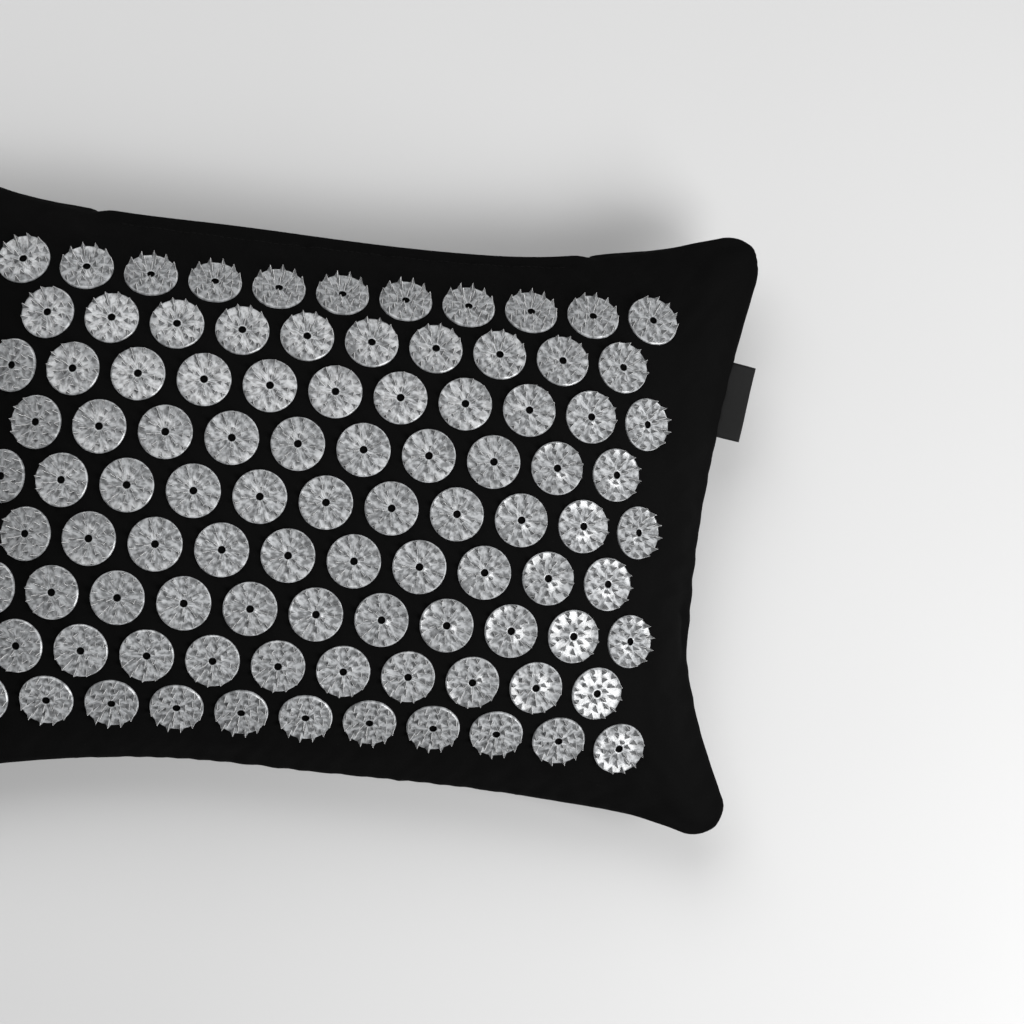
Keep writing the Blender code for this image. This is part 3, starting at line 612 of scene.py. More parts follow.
def sampleLine(grid, t, axis):
    # smooth curve through a grid's rows at places t, counted in rows
    grid = np.moveaxis(grid, axis, 0)
    last = len(grid) - 1
    base = np.clip(np.floor(t).astype(int), 0, last - 1)
    f = (t - base)[:, None, None]
    before = np.where((base > 0)[:, None, None], grid[np.maximum(base - 1, 0)],
                      2 * grid[base] - grid[base + 1])
    after = np.where((base < last - 1)[:, None, None], grid[np.minimum(base + 2, last)],
                     2 * grid[base + 1] - grid[base])
    here, there = grid[base], grid[base + 1]
    curve = here + 0.5 * f * (there - before + f * (
        2 * before - 5 * here + 4 * there - after + f * (3 * (here - there) + after - before)))
    return np.moveaxis(curve, 0, axis)


def fineShares(length):
    # shares of the way across a panel, closer together at its seams
    edge = list(coverSizes["seamRows"])
    start = edge[-1] + coverSizes["fineStep"]
    count = max(2, round((length - 2 * start) / coverSizes["fineStep"]))
    middle = np.linspace(start, length - start, count + 1)
    return np.concatenate([edge, middle, [length - d for d in edge[::-1]]]) / length


def coverGrids(fineAlong, fineAcross):
    s = coverSizes
    along = np.linspace(0.0, 1.0, s["simAlong"] + 1)
    across = np.linspace(0.0, 1.0, s["simAcross"] + 1)
    ground = coverOutline.panel(along, across)
    x, y = ground[..., 0], ground[..., 1]
    top = np.dstack([x, y, coverTop(x, y)])
    bottom = np.dstack([x, y, coverBottom(x, y)])
    edge = np.ones(top.shape[:2], bool)
    edge[1:-1, 1:-1] = False
    top[edge, 2] = bottom[edge, 2] = padShape["seamHeight"]
    points, faces, over, under = closedPanels(top, bottom)
    onDiscs = (np.abs(x) < s["discFieldX"]) & (np.abs(y) < s["discFieldY"]) & ~edge
    onFloor = (bottom[..., 2] < s["floorTouch"]) & ~edge
    held = np.zeros(len(points), bool)
    held[over[onDiscs | edge]] = True
    held[under[onFloor]] = True
    points = swellAsCloth(points, faces, held)
    report("cover swollen as cloth")
    grids = []
    for grid in (points[over], points[under]):
        grid = sampleLine(grid, fineAlong * s["simAlong"], 0)
        grids.append(sampleLine(grid, fineAcross * s["simAcross"], 1))
    top, bottom = grids
    bottom[..., 2] = np.maximum(bottom[..., 2], 0.0)
    return top, bottom


def gridNormals(grid):
    normal = np.cross(np.gradient(grid, axis=0), np.gradient(grid, axis=1))
    return normal / np.maximum(np.linalg.norm(normal, axis=2, keepdims=True), 1e-12)


# The zip's opening: half its length, how far it closes over, and its section
zipOpening = dict(halfLength=0.1255, closing=0.0120, depth=0.0082, roof=0.0043, lip=0.00535,
                  front=0.0002, back=-0.0005, lipSetBack=0.0008, blend=0.0012, rows=14)
seamSizes = dict(
    tuck=0.0016, tuckReach=0.0010, easeTuck=1.5, easeRun=0.024, roll=0.0005, rollAt=0.0030,
    rollReach=0.0018, sideBlend=0.01, gatherDepth=0.00024, gatherPitch=0.017, gatherDrift=2.0,
    driftTurns=41.0, fadeTurns=23.0, gatherAt=0.004, gatherReach=0.009, gatherStart=0.003,
    foldDepth=0.0022, foldY=-0.045, foldIn=0.0045, foldSlant=0.10, foldReach=0.0022,
    foldLong=0.014)


def sewSeams(top, bottom, ground):
    # the seam is tucked in, with a roll, small gathers and one fold in the right end
    s = seamSizes
    x, y = ground[..., 0], ground[..., 1]
    inEnd, inSide = coverOutline.halfLength(y) - np.abs(x), coverOutline.halfWidth(x) - np.abs(y)
    distance = np.minimum(inEnd, inSide)
    roll = s["roll"] * hump(distance, s["rollAt"], s["rollReach"])
    zipEnds = (y > 0) * hump(np.abs(x), zipOpening["halfLength"], s["easeRun"])
    tuck = s["tuck"] * hump(distance, 0.0, s["tuckReach"]) * (1 - s["easeTuck"] * zipEnds)
    onSide = smoothStep(inEnd - inSide, -s["sideBlend"], s["sideBlend"])
    run = x * onSide + y * (1 - onSide)
    wave = np.sin(run * math.tau / s["gatherPitch"]
                  + s["gatherDrift"] * np.sin(run * s["driftTurns"]))
    wave *= 0.5 + 0.5 * np.sin(run * s["fadeTurns"] + 1.0)
    gathers = s["gatherDepth"] * wave * hump(distance, s["gatherAt"], s["gatherReach"])
    gathers *= smoothStep(distance, 0.0, s["gatherStart"])
    past = y - s["foldY"]
    fold = s["foldDepth"] * np.exp(-(past / s["foldLong"]) ** 4)
    fold *= hump(coverOutline.halfLength(y) - x - s["foldSlant"] * past, s["foldIn"],
                 s["foldReach"])
    away = -np.dstack([x, y]) / np.maximum(np.hypot(x, y), 1e-6)[..., None]
    for grid, sign in ((top, 1.0), (bottom, -1.0)):
        grid += gridNormals(grid) * sign * (roll + gathers - fold)[..., None]
        grid[..., :2] += away * tuck[..., None]


def openZip(top, bottom):
    # the far seam parts into two lips, with a pocket between them for the zip
    s = zipOpening
    x = top[:, -1, 0]
    seamY = coverOutline.halfWidth(x)
    part = 1 - smoothStep(np.abs(x), s["halfLength"] - s["closing"], s["halfLength"])
    section = ((-s["depth"], 0.0), (-s["depth"], s["roof"]), (-s["depth"] / 2, s["roof"]),
               (-s["front"] - s["back"], s["roof"]),
               (s["front"] - s["back"], (s["roof"] + s["lip"]) / 2),
               (-s["lipSetBack"] - s["back"], s["lip"]))
    last = -1 - len(section)
    for grid, side in ((top, 1.0), (bottom, -1.0)):
        for k, (out, rise) in enumerate(section):
            line = grid[:, -1 - k]
            goal = np.stack([line[:, 0], seamY + out,
                             np.full(len(x), padShape["seamHeight"] + side * rise)], axis=1)
            line += (goal - line) * part[:, None]
        heights = grid[:, last - s["rows"]:last + 1, 2]
        rise = side * (heights - padShape["seamHeight"])
        kept = 0.5 * (rise + s["lip"] + np.sqrt((rise - s["lip"]) ** 2 + s["blend"] ** 2))
        heights += side * (kept - rise) * part[:, None]


# How uneven the photographed pad is. A hump is size, middle and spread along its edge, a
# step is size, start and end, and a share is its start and end.
swaySizes = dict(
    dent=(-0.0022, -0.060, 0.017), flare=(0.0068, 0.078, 0.135), bow=(0.0042, -0.040, 0.055),
    bowEnd=(-0.0010, 0.085, 0.130), sideLeft=(0.0026, -0.06, 0.06),
    nearRight=(0.0024, 0.165, 0.03), farRight=(0.0050, 0.160, 0.045),
    rimShare=(0.86, 1.0), endShare=(0.13, 0.19), farCorner=0.0048,
    farShares=((0.150, 0.200), (0.105, 0.145)), nearCorner=0.0034,
    nearShares=((0.185, 0.212), (0.115, 0.145)))


def endSway(y):
    # how far the right end's seam stands off its even line
    size, *dent = swaySizes["dent"]
    sway = size * hump(y, *dent)
    for name, sign in (("flare", -1.0), ("bow", 1.0), ("bowEnd", 1.0)):
        size, *step = swaySizes[name]
        sway = sway + size * smoothStep(sign * y, *step)
    return sway


def photoSway(points):
    # the stuffed pad isn't quite even: its right corners stand out past a shallow dent
    s = swaySizes
    x, y = points[..., 0], points[..., 1]
    left, right, near = (size * hump(x, middle, spread) for size, middle, spread in
                         (s["sideLeft"], s["farRight"], s["nearRight"]))
    side = left + np.where(y > 0, right, near)
    rim = smoothStep(np.abs(y) / coverOutline.halfWidth(x), *s["rimShare"])
    farX, farY = s["farShares"]
    nearX, nearY = s["nearShares"]
    moved = points.copy()
    moved[..., 0] += smoothStep(x, *s["endShare"]) * endSway(y)
    moved[..., 1] += (rim * side + smoothStep(x, *farX) * smoothStep(y, *farY) * s["farCorner"]
                      + smoothStep(x, *nearX) * smoothStep(-y, *nearY) * s["nearCorner"])
    return moved


discBed = dict(blend=0.0022, sink=0.00015, near=0.02, bulge=0.0007, bulgeBlends=4)


def restDiscs(top, seats):
    # the cloth lies flat under each disc and stands up a little between them
    s = discBed
    radius = discSizes["radius"]
    reached = radius + s["bulgeBlends"] * s["blend"]
    normal = gridNormals(top)
    between = np.ones(top.shape[:2])
    for place, up in seats:
        offset = top - np.array(place)
        height = offset @ np.array(up)
        reach = np.sqrt(np.maximum((offset ** 2).sum(2) - height ** 2, 0.0))
        near = (reach < reached) & (np.abs(height) < s["near"])
        lift = (1 - smoothStep(reach, radius, radius + s["blend"])) * (-s["sink"] - height)
        top[near] += (lift[..., None] * np.array(up))[near]
        between = np.where(near, np.minimum(between, smoothStep(reach, radius, reached)), between)
    return top + normal * (between * s["bulge"])[..., None]


def buildCover(cloth, seats):
    fineAlong = fineShares(2 * coverOutline.tipX)
    fineAcross = fineShares(2 * coverOutline.tipY)
    top, bottom = coverGrids(fineAlong, fineAcross)
    sewSeams(top, bottom, coverOutline.panel(fineAlong, fineAcross))
    openZip(top, bottom)
    top = restDiscs(photoSway(top), seats)
    bottom = photoSway(bottom)
    bottom[..., 2] = np.maximum(bottom[..., 2], 0.0)
    points, faces, _, _ = closedPanels(top, bottom)
    cover = fromFaces("cover", points, faces, cloth)
    addCutMap(cover, points[:, :2])
    return cover


# Discs by Geometry Nodes: rings of spikes on one turned plate, on every seat

discSizes = dict(
    radius=0.0129, edge=0.0004, thickness=0.0010, sunk=0.0004, holeRadius=0.0019,
    holeLip=0.0002, collarRadius=0.0027, collarRise=0.00018, collarFoot=0.0003,
    rimStart=0.0009, rimTop=0.0006, rimRise=0.00012, holeShadeMargin=0.00005, segments=48,
    spin=172.0, spinSpread=9.0, seed=4, spikeHeight=0.0046, spikeWidth=0.0027,
    spikeRoot=0.0001, arris=0.00014, paleFoot=0.00015, fadeRise=0.00025, crease=40)
spikeRings = (
    dict(word="Outer", count=12, inner=0.0094, outer=0.0125, lean=0.0005, turn=0.0),
    dict(word="Middle", count=9, inner=0.0054, outer=0.0086, lean=0.0013, turn=20.0),
    dict(word="Inner", count=6, inner=0.0021, outer=0.0047, lean=0.0010, turn=30.0))


def markFaces(bm, name, faces):
    # a share of 1 on some faces, for the finish to read
    bm.faces.index_update()
    picked = [face.index for face in faces]
    layer = bm.faces.layers.float.new(name)
    bm.faces.ensure_lookup_table()
    for k in picked:
        bm.faces[k][layer] = 1.0


def discPlate():
    s = discSizes
    top, low = s["thickness"], -s["sunk"]
    raised = top + s["collarRise"]
    profile = [(s["holeRadius"], low), (s["holeRadius"], (top + raised) / 2),
               (s["holeRadius"] + s["holeLip"], raised), (s["collarRadius"], raised),
               (s["collarRadius"] + s["collarFoot"], top), (s["radius"] - s["rimStart"], top),
               (s["radius"] - s["rimTop"], top + s["rimRise"]),
               (s["radius"] - s["edge"], top), (s["radius"], top - s["edge"]),
               (s["radius"], low)]
    bm = bmesh.new()
    rings = []
    for step in range(s["segments"]):
        angle = math.tau * step / s["segments"]
        rings.append([bm.verts.new((r * math.cos(angle), r * math.sin(angle), z))
                      for r, z in profile])
    for step, ring in enumerate(rings):
        following = rings[(step + 1) % len(rings)]
        for k in range(len(profile)):
            near = (k + 1) % len(profile)
            bm.faces.new((ring[k], following[k], following[near], ring[near]))
    bmesh.ops.recalc_face_normals(bm, faces=bm.faces[:])
    # the hole's wall is marked for painted shade
    holeShadeRadius = s["holeRadius"] + s["holeShadeMargin"]
    markFaces(bm, "holeShadeShare", [face for face in bm.faces
                                if face.calc_center_median().xy.length < holeShadeRadius])
    return fromBmesh("disc_plate", bm, None, s["crease"])


def spikeShape(ring):
    # a pyramid on three sides: its flat face outwards, its ridge towards the middle
    s = discSizes
    half, depth = s["spikeWidth"] / 2, ring["outer"] - ring["inner"]
    bm = bmesh.new()
    foot = [bm.verts.new((x, y, -s["spikeRoot"]))
            for x, y in ((-depth / 2, 0.0), (depth / 2, -half), (depth / 2, half))]
    tip = bm.verts.new((depth / 6 + ring["lean"], 0.0, s["spikeHeight"]))
    bm.faces.new(foot)
    sides = [bm.edges.new((tip, corner)) for corner in foot]
    for step in range(3):
        bm.faces.new((foot[step - 1], foot[step], tip))
    bmesh.ops.recalc_face_normals(bm, faces=bm.faces[:])
    arrises = bmesh.ops.bevel(bm, geom=sides, offset=s["arris"], segments=1,
                              affect="EDGES")["faces"]
    # the bevelled arrises carry a painted highlight in the finish
    markFaces(bm, "arrisHighlightShare", arrises)
    return fromBmesh("spike_" + ring["word"], bm, None, 30)


class Tree(NodeSheet):
    # a Geometry Nodes tree with named inputs, given as wires
    def __init__(self, name, **inputs):
        super().__init__(bpy.data.node_groups.new(name, "GeometryNodeTree"))
        sockets = self.tree.interface
        for way in ("INPUT", "OUTPUT"):
            sockets.new_socket("Geometry", in_out=way, socket_type="NodeSocketGeometry")
        for label, kind in inputs.items():
            sockets.new_socket(label, in_out="INPUT", socket_type="NodeSocket" + kind)
        entry = self.place("NodeGroupInput")
        self.given = {socket.name: Wire(self, socket) for socket in entry.outputs if socket.name}

    def end(self, geometry):
        self.place("NodeGroupOutput", None, {0: geometry})
        return self.tree

    def endFinished(self, geometry):
        geometry = self.realized(geometry)
        return self.end(self.node("GeometryNodeSetMaterial", None, {
            "Geometry": geometry, "Material": self.given["Finish"]}))

    def realized(self, geometry):
        return self.node("GeometryNodeRealizeInstances", None, {"Geometry": geometry})

    def joined(self, *parts):
        whole = self.place("GeometryNodeJoinGeometry")
        for part in parts:
            self.feed(whole.inputs[0], part)
        return Wire(self, whole.outputs[0])

    def shape(self, label):
        return self.node("GeometryNodeObjectInfo", None, {"Object": self.given[label]}, "Geometry")

    def copies(self, points, shape, turn):
        return self.node("GeometryNodeInstanceOnPoints", None,
                         {"Points": points, "Instance": shape, "Rotation": turn})

    def stored(self, geometry, name, value, kind="FLOAT"):
        return self.node("GeometryNodeStoreNamedAttribute", {"data_type": kind},
                         {"Geometry": geometry, "Name": name, "Value": value})

    def lie(self):
        # the turn that pointsWithLie left on each point
        euler = self.node("GeometryNodeInputNamedAttribute", {"data_type": "FLOAT_VECTOR"},
                          {"Name": "lie"}, "Attribute")
        return self.node("FunctionNodeEulerToRotation", None, {"Euler": euler})

    def random(self, low, high, seed):
        return self.node("FunctionNodeRandomValue", {"data_type": "FLOAT"},
                         {"Min_001": low, "Max_001": high, "Seed": seed}, "Value_001")


def runTree(piece, tree, values):
    # settings go in by the socket's identifier, then the result becomes a plain mesh
    modifier = piece.modifiers.new(tree.name, "NODES")
    modifier.node_group = tree
    for item in tree.interface.items_tree:
        if item.in_out == "INPUT" and item.name in values:
            modifier[item.identifier] = values[item.name]
    return bakeModifiers(piece, values["Finish"])


def ringTree():
    # one ring of spikes round a disc's middle
    sheet = Tree("spike ring", Spike="Object", Count="Int", Radius="Float", Turn="Float",
                 Height="Float")
    given = sheet.given
    line = sheet.node("GeometryNodeMeshLine", None, {"Count": given["Count"]}, "Mesh")
    angle = (sheet.node("GeometryNodeInputIndex") * math.tau / given["Count"]
             + given["Turn"])
    place = sheet.node("ShaderNodeCombineXYZ", None, {
        "X": sheet.maths("COSINE", angle) * given["Radius"],
        "Y": sheet.sine(angle) * given["Radius"], "Z": given["Height"]})
    points = sheet.node("GeometryNodeSetPosition", None, {"Geometry": line, "Position": place})
    turned = sheet.node("ShaderNodeCombineXYZ", None, {"Z": angle})
    return sheet.end(sheet.copies(points, sheet.shape("Spike"), turned))


def discTree():
    words = [ring["word"] for ring in spikeRings]
    sizes = {f"{word} {name}": kind for word in words for name, kind in
             (("spike", "Object"), ("count", "Int"), ("radius", "Float"), ("turn", "Float"))}
    sheet = Tree("spiked discs", Plate="Object", **sizes, Top="Float", Spin="Float",
                 Spread="Float", Seed="Int", Finish="Material")
    given = sheet.given
    ring = ringTree()
    spikes = sheet.realized(sheet.joined(*(
        sheet.node("GeometryNodeGroup", {"node_tree": ring}, {
            "Spike": given[word + " spike"], "Count": given[word + " count"],
            "Radius": given[word + " radius"], "Turn": given[word + " turn"],
            "Height": given["Top"]}) for word in words)))
    position = sheet.node("GeometryNodeInputPosition")
    _, _, height = sheet.axes(position)
    # spike faces above the plate's top take the painted shade; their sunk foot keeps the plate's
    # colour
    share = (height - given["Top"] + discSizes["paleFoot"]) / discSizes["fadeRise"]
    share = sheet.node("ShaderNodeClamp", None, {"Value": share})
    spikes = sheet.stored(spikes, "spikeShare", share)
    disc = sheet.joined(sheet.shape("Plate"), spikes)
    disc = sheet.stored(disc, "discSpot", position, "FLOAT_VECTOR")
    wobble = sheet.random(-1.0, 1.0, given["Seed"])
    spin = sheet.node("ShaderNodeCombineXYZ", None,
                      {"Z": given["Spin"] + wobble * given["Spread"]})
    spin = sheet.node("FunctionNodeEulerToRotation", None, {"Euler": spin})
    lie = sheet.node("FunctionNodeRotateRotation", {"rotation_space": "LOCAL"},
                     {"Rotation": sheet.lie(), "Rotate By": spin})
    tone = sheet.random(0.0, 1.0, given["Seed"] + 7)
    seats = sheet.stored(given["Geometry"], "discTone", tone)
    return sheet.endFinished(sheet.copies(seats, disc, lie))


def copiesTree():
    # one shape copied to every point, turned as the point says
    sheet = Tree("copies on points", Shape="Object", Finish="Material")
    return sheet.endFinished(sheet.copies(sheet.given["Geometry"], sheet.shape("Shape"),
                                          sheet.lie()))


def pointsWithLie(name, seats):
    # a mesh of bare points, each with the turn that lays a copy on the surface there
    mesh = bpy.data.meshes.new(name)
    mesh.from_pydata([tuple(place) for place, _ in seats], [], [])
    lie = mesh.attributes.new("lie", "FLOAT_VECTOR", "POINT")
    for item, (_, turn) in zip(lie.data, seats):
        item.vector = tuple(turn.to_euler())
    return addToScene(name, mesh)


def buildDiscs(plastic, seats):
    s = discSizes
    up = Vector((0.0, 0.0, 1.0))
    turned = [(place, up.rotation_difference(normal)) for place, normal in seats]
    discs = pointsWithLie("spiked_discs", turned)
    plate = discPlate()
    spikes = [spikeShape(ring) for ring in spikeRings]
    values = {"Plate": plate, "Top": s["thickness"], "Spin": math.radians(s["spin"]),
              "Spread": math.radians(s["spinSpread"]), "Seed": s["seed"], "Finish": plastic}
    for ring, spike in zip(spikeRings, spikes):
        values[ring["word"] + " spike"] = spike
        values[ring["word"] + " count"] = ring["count"]
        values[ring["word"] + " radius"] = (ring["inner"] + ring["outer"]) / 2
        values[ring["word"] + " turn"] = math.radians(ring["turn"])
    runTree(discs, discTree(), values)
    forget(plate, *spikes)
    return discs


# Inner cushion: a casing and its filling, each smaller than the form round it

cushionSizes = dict(step=0.005, lumpScale=26.0, lumpSeed=3.0, lumpFade=8.0, flatLow=0.002)
casingSizes = dict(inset=0.012, height=0.0475, low=0.0017, lumps=0.0010)
fillingSizes = dict(inset=0.022, height=0.0435, low=0.0036, lumps=0.0022)


def cushionForm(name, s, finish):
    outline = Outline(coverOutline.tipX, coverOutline.tipY, s["inset"])
    along, across = (np.linspace(0.0, 1.0, round(2 * tip / cushionSizes["step"]) + 1)
                     for tip in (outline.tipX, outline.tipY))
    ground = outline.panel(along, across)
    x, y = ground[..., 0], ground[..., 1]
    crown = outline.crown(x, y)
    seam = padShape["seamHeight"]
    top = np.dstack([x, y, seam + s["height"] * crown])
    bottom = np.dstack([x, y, np.maximum(s["low"], seam - s["height"] * crown)])
    lumps = [noise.noise(Vector((px, py, 0.0)) * cushionSizes["lumpScale"]
                         + Vector([cushionSizes["lumpSeed"]] * 3))
             for px, py in ground.reshape(-1, 2)]
    sunk = np.abs(np.array(lumps).reshape(crown.shape)) * s["lumps"]
    sunk *= np.minimum(crown * cushionSizes["lumpFade"], 1.0)
    top[..., 2] -= sunk
    bottom[..., 2] += sunk * (bottom[..., 2] > s["low"] + cushionSizes["flatLow"])
    points, faces, _, _ = closedPanels(top, bottom)
    form = fromFaces(name, points, faces, finish)
    addCutMap(form, points[:, :2])
    return form


# Side label

labelSizes = dict(
    thickness=0.00038, gap=0.0006, rows=24, columns=12, tilt=0.0008, tiltTurns=5.1,
    tiltStart=0.8, puff=0.6, foldPower=6, inSeam=0.0030, proud=0.0111, shift=0.0054)


def buildLabel(weave):
    # a folded loop: out from the seam above, round, and back below
    s = labelSizes
    low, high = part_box("side_label")
    middle = (low[2] + high[2]) / 2
    roots = [Vector((float(coverOutline.halfLength(y) + endSway(y)) - s["inSeam"], y))
             for y in (low[1] + s["shift"], high[1] + s["shift"])]
    along = (roots[1] - roots[0]).normalized()
    out = Vector((along.y, -along.x))
    rows = []
    for i in range(s["rows"] + 1):
        v = i / s["rows"]
        root = roots[0].lerp(roots[1], v)
        row = []
        for k in range(2 * s["columns"] + 1):
            t = k / s["columns"]
            side, run = (1.0, t) if t <= 1 else (-1.0, 2 - t)
            puff = s["gap"] * (1 + s["puff"] * math.sin(math.pi * run)) * (1 - run ** s["foldPower"])
            wave = s["tilt"] * run * math.sin(v * s["tiltTurns"] + s["tiltStart"])
            spot = root + out * (s["inSeam"] + s["proud"]) * run
            row.append((spot.x, spot.y, middle + side * (puff + s["thickness"]) / 2 + wave))
        rows.append(row)
    grid = np.array(rows)
    index = np.arange(grid.shape[0] * grid.shape[1])
    row, column = np.divmod(index, grid.shape[1])
    label = fromFaces("woven_side_label", grid.reshape(-1, 3),
                      quadGrid(index.reshape(grid.shape[:2])))
    addCutMap(label, np.stack([row * (high[1] - low[1]) / s["rows"],
                               column * (high[0] - low[0]) / s["columns"]], axis=1))
    shell = label.modifiers.new("cloth", "SOLIDIFY")
    shell.thickness = s["thickness"]
    shell.offset = 0.0
    return bakeModifiers(label, weave)


# Zip: fine moulded teeth, metal pieces with rounded edges, and the lips' stitches

teethSizes = dict(
    seamIn=0.0030, chain=0.0970, pitch=0.0030, stagger=0.25, wide=0.0020, root=0.00245,
    nose=0.00072, thick=0.0019, shoulder=0.0013, neckShare=0.55, neckEndShare=0.70,
    noseShare=0.8, bevel=0.0001, bevelFrom=1.2, beadLow=0.00235, beadHigh=0.00275,
    beadThick=0.0013)


def blockPiece(name, low, high, bevel=0.0):
    bm = bmesh.new()
    middle, size = (Vector(low) + Vector(high)) / 2, Vector(high) - Vector(low)
    bmesh.ops.create_cube(bm, size=1.0, matrix=(Matrix.Translation(middle)
                                                @ Matrix.Diagonal((*size, 1.0))))
    if bevel:
        bmesh.ops.bevel(bm, geom=bm.edges[:], offset=bevel, segments=1, affect="EDGES")
    return fromBmesh(name, bm, None, 40)


def toothShape():
    # a moulded tooth: narrow neck, broad rounded head
    s = teethSizes
    half, thick = s["wide"] / 2, s["thick"] / 2
    right = ((half * s["noseShare"], s["nose"]), (half, s["shoulder"]),
             (half * s["neckShare"], s["root"] * s["neckEndShare"]),
             (half * s["neckShare"], s["root"]))
    profile = [(-x, z) for x, z in right[::-1]] + list(right)
    bm = bmesh.new()
    near, far = ([bm.verts.new((x, y, z)) for x, z in profile] for y in (-thick, thick))
    bm.faces.new(near)
    bm.faces.new(far[::-1])
    for k in range(len(profile)):
        bm.faces.new((near[k - 1], far[k - 1], far[k], near[k]))
    bmesh.ops.recalc_face_normals(bm, faces=bm.faces[:])
    bmesh.ops.bevel(bm, geom=[edge for edge in bm.edges
                              if edge.calc_face_angle(0.0) > s["bevelFrom"]],
                    offset=s["bevel"], segments=1, affect="EDGES")
    return fromBmesh("moulded_tooth", bm, None, 40)


def buildTeeth(finish):
    s = teethSizes
    y = float(coverOutline.halfWidth(0.0)) - s["seamIn"]
    z = padShape["seamHeight"]
    count = int(2 * s["chain"] / s["pitch"])
    seats = []
    for side, turn in ((1, 0.0), (-1, math.pi)):
        for step in range(count):
            x = (step - (count - 1) / 2 + side * s["stagger"]) * s["pitch"]
            seats.append((Vector((x, y, z)), Euler((turn, 0.0, 0.0)).to_quaternion()))
    teeth = pointsWithLie("zip_teeth_rows", seats)
    tooth = toothShape()
    runTree(teeth, copiesTree(), {"Shape": tooth, "Finish": finish})
    forget(tooth)
    bm = bmesh.new()
    bm.from_mesh(teeth.data)
    for side in (1, -1):
        bead = blockPiece("bead", (-s["chain"], y - s["beadThick"] / 2, z + side * s["beadLow"]),
                          (s["chain"], y + s["beadThick"] / 2, z + side * s["beadHigh"]))
        bm.from_mesh(bead.data)
        forget(bead)
    bmesh.ops.recalc_face_normals(bm, faces=bm.faces[:])
    bm.to_mesh(teeth.data)
    bm.free()
    return teeth


metalSizes = dict(edge=0.00014, merge=1e-6, flat=1.0, sharp=25.0, crease=35)


def roundedCopy(node, name, finish):
    # the solid's own shape with its edges rounded
    s = metalSizes
    bm = bmesh.new()
    bm.from_mesh(bpy.data.objects[node].data)
    bmesh.ops.transform(bm, matrix=bpy.data.objects[node].matrix_world, verts=bm.verts[:])
    bmesh.ops.remove_doubles(bm, verts=bm.verts[:], dist=s["merge"])
    bmesh.ops.dissolve_limit(bm, angle_limit=math.radians(s["flat"]), verts=bm.verts[:],
                             edges=bm.edges[:])
    bmesh.ops.recalc_face_normals(bm, faces=bm.faces[:])
    sharp = [edge for edge in bm.edges if edge.calc_face_angle(0.0) > math.radians(s["sharp"])]
    bmesh.ops.bevel(bm, geom=sharp, offset=s["edge"], segments=2, affect="EDGES",
                    clamp_overlap=True)
    return fromBmesh(name, bm, finish, s["crease"])


stitchSizes = dict(run=0.112, pitch=0.0034, inSeam=0.0032, rise=0.009, long=0.0024, wide=0.0005,
                   topShare=0.8, bevelShare=0.6)


def buildStitches(cover, thread):
    # a row of stitches along each lip
    s = stitchSizes
    skin = BVHTree.FromObject(cover, bpy.context.evaluated_depsgraph_get())
    count = int(2 * s["run"] / s["pitch"])
    seats = []
    for side in (1, -1):
        for step in range(count):
            x = (step - (count - 1) / 2) * s["pitch"]
            y = float(coverOutline.halfWidth(x)) - s["inSeam"]
            place, normal, _, _ = skin.find_nearest(
                Vector((x, y, padShape["seamHeight"] + side * s["rise"])))
            run = Vector((1.0, 0.0, 0.0)).cross(normal).cross(normal).normalized()
            axes = Matrix((run, normal.cross(run), normal)).transposed()
            seats.append((place, axes.to_quaternion()))
    stitches = pointsWithLie("lip_stitches", seats)
    half, wide = s["long"] / 2, s["wide"] / 2
    stitch = blockPiece("stitch", (-half, -wide, -wide), (half, wide, wide * s["topShare"]),
                        wide * s["bevelShare"])
    runTree(stitches, copiesTree(), {"Shape": stitch, "Finish": thread})
    forget(stitch)
    return stitches


# Camera, floor and light

viewSizes = dict(place=(-0.0404, -0.0697, 1.294), turn=(2.941, -6.419, 4.775), lens=88.74,
                 sensor=36.0, clipStart=0.05)


def buildCamera():
    camera = bpy.data.cameras.new("photo_view")
    camera.type = "PERSP"
    camera.sensor_width = viewSizes["sensor"]
    camera.lens = viewSizes["lens"]
    camera.clip_start = viewSizes["clipStart"]
    eye = addToScene("photo_view", camera)
    eye.location = viewSizes["place"]
    eye.rotation_euler = Euler([math.radians(a) for a in viewSizes["turn"]], "XYZ")
    bpy.context.scene.camera = eye


floorSizes = dict(size=3.0, under=0.0002, roughness=0.9, mottle=3.0, dull=0.45, bright=0.48,
                  fade=(0.8, 1.5))


def buildFloor():
    s = floorSizes
    sheet = Finish("pale_floor", {"Roughness": s["roughness"]})
    spot = sheet.spot()
    sheet.feed(sheet.shader.inputs["Base Color"], sheet.mixColour(
        sheet.noise(spot, s["mottle"], 2.0), grey(s["dull"]), grey(s["bright"])))
    sheet.feed(sheet.shader.inputs["Alpha"],
               1.0 - sheet.clamped(sheet.length(spot), *s["fade"]))  # melts into the sky
    bm = bmesh.new()
    bmesh.ops.create_grid(bm, x_segments=2, y_segments=2, size=s["size"],
                          matrix=Matrix.Translation((0.0, 0.0, -s["under"])))
    floor = fromBmesh("studio_floor", bm, sheet.material)


lampSizes = (
    dict(name="key", place=(0.95, -0.50, 0.92), size=0.85, power=27.5),
    dict(name="fill", place=(-0.45, 1.0, 1.4), size=1.4, power=26.0),
    dict(name="side", place=(-1.2, 0.3, 0.9), size=1.2, power=1.5))
lampAim = Vector((0.0, 0.0, 0.04))
skySizes = dict(tone=(0.9, 0.9, 0.9, 1.0), glow=0.18, seenMore=0.67)


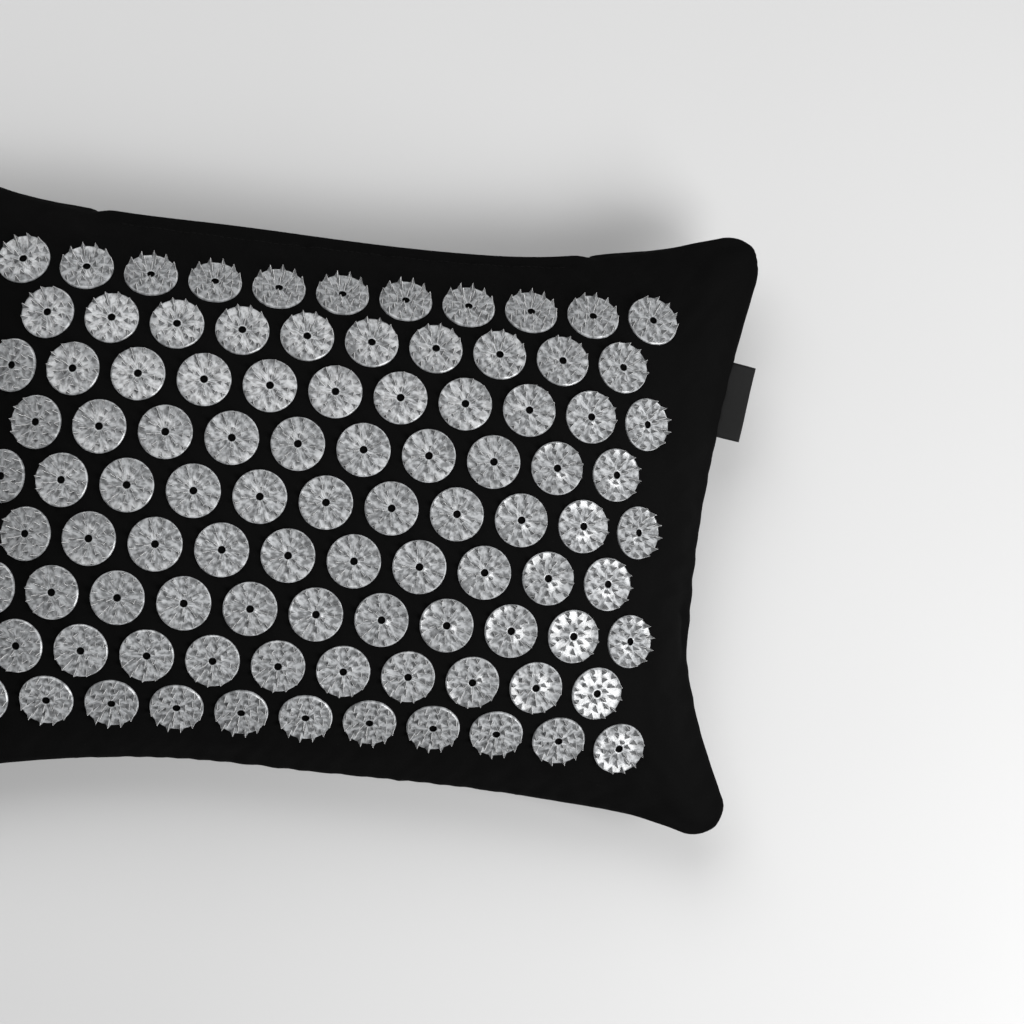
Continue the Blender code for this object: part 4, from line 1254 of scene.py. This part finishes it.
def buildLamps():
    for lamp in lampSizes:
        light = bpy.data.lights.new(lamp["name"], "AREA")
        light.shape = "SQUARE"
        light.size = lamp["size"]
        light.energy = lamp["power"]
        holder = addToScene(lamp["name"], light)
        holder.location = lamp["place"]
        holder.rotation_euler = (lampAim - holder.location).to_track_quat("-Z", "Y").to_euler()
    world = bpy.data.worlds.new("studio")
    world.use_nodes = True
    sheet = NodeSheet(world.node_tree)
    sky = world.node_tree.nodes["Background"]
    sky.inputs["Color"].default_value = skySizes["tone"]
    seen = sheet.node("ShaderNodeLightPath", None, None, "Is Camera Ray")
    sheet.feed(sky.inputs["Strength"],
               seen * skySizes["seenMore"] + skySizes["glow"])  # pale behind the pad, dim as a lamp
    bpy.context.scene.world = world


# The whole pad

seats = discSeats()
report(f"{len(seats)} disc seats")
cover = buildCover(coverCloth(), seats)
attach(cover, "pad")
rows = [f"top_panel_row_{row + 1}" for row in range(discLayout["rows"])]
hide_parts("bottom_panel", *rows)
report("cover sewn")

discs = buildDiscs(discPlastic(), seats)
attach(discs, "pad")
report("discs seated")

casing = cushionForm("inner_casing", casingSizes, liningCloth())
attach(casing, "pad")
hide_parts("inner_casing_top", "inner_casing_bottom")
filling = cushionForm("fibre_filling_form", fillingSizes, fibreFluff())
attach(filling, "pad")
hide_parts("fibre_filling")
report("inner cushion stuffed")

label = buildLabel(labelWeave())
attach(label, "pad")
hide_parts("side_label")
report("label folded")

tape = tapeWeave()
for name in ("zip_tape_upper", "zip_tape_lower"):
    for slot in bpy.data.objects[name].material_slots:
        slot.material = tape

teeth = buildTeeth(blackGrain("black_moulded_teeth", teethFinish))
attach(teeth, "pad")
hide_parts("zip_teeth_upper", "zip_teeth_lower")
metal = paintedZinc()
metalPieces = (("zip_top_stop_upper", "upper_stop", "pad"),
               ("zip_top_stop_lower", "lower_stop", "pad"),
               ("zip_bottom_stop", "end_stop", "pad"),
               ("zip_slider", "slider_body", "slider"),
               ("zip_pull_tab", "pull_tab_plate", "pull_tab"))
for node, name, body in metalPieces:
    piece = roundedCopy(node, name, metal)
    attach(piece, body)
    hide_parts(node)
stitches = buildStitches(cover, blackGrain("black_sewing_thread", threadFinish))
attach(stitches, "pad")
report("zip built")

buildCamera()
buildFloor()
buildLamps()
bpy.context.scene.view_settings.view_transform = "Standard"
report("camera, floor and lamps set")
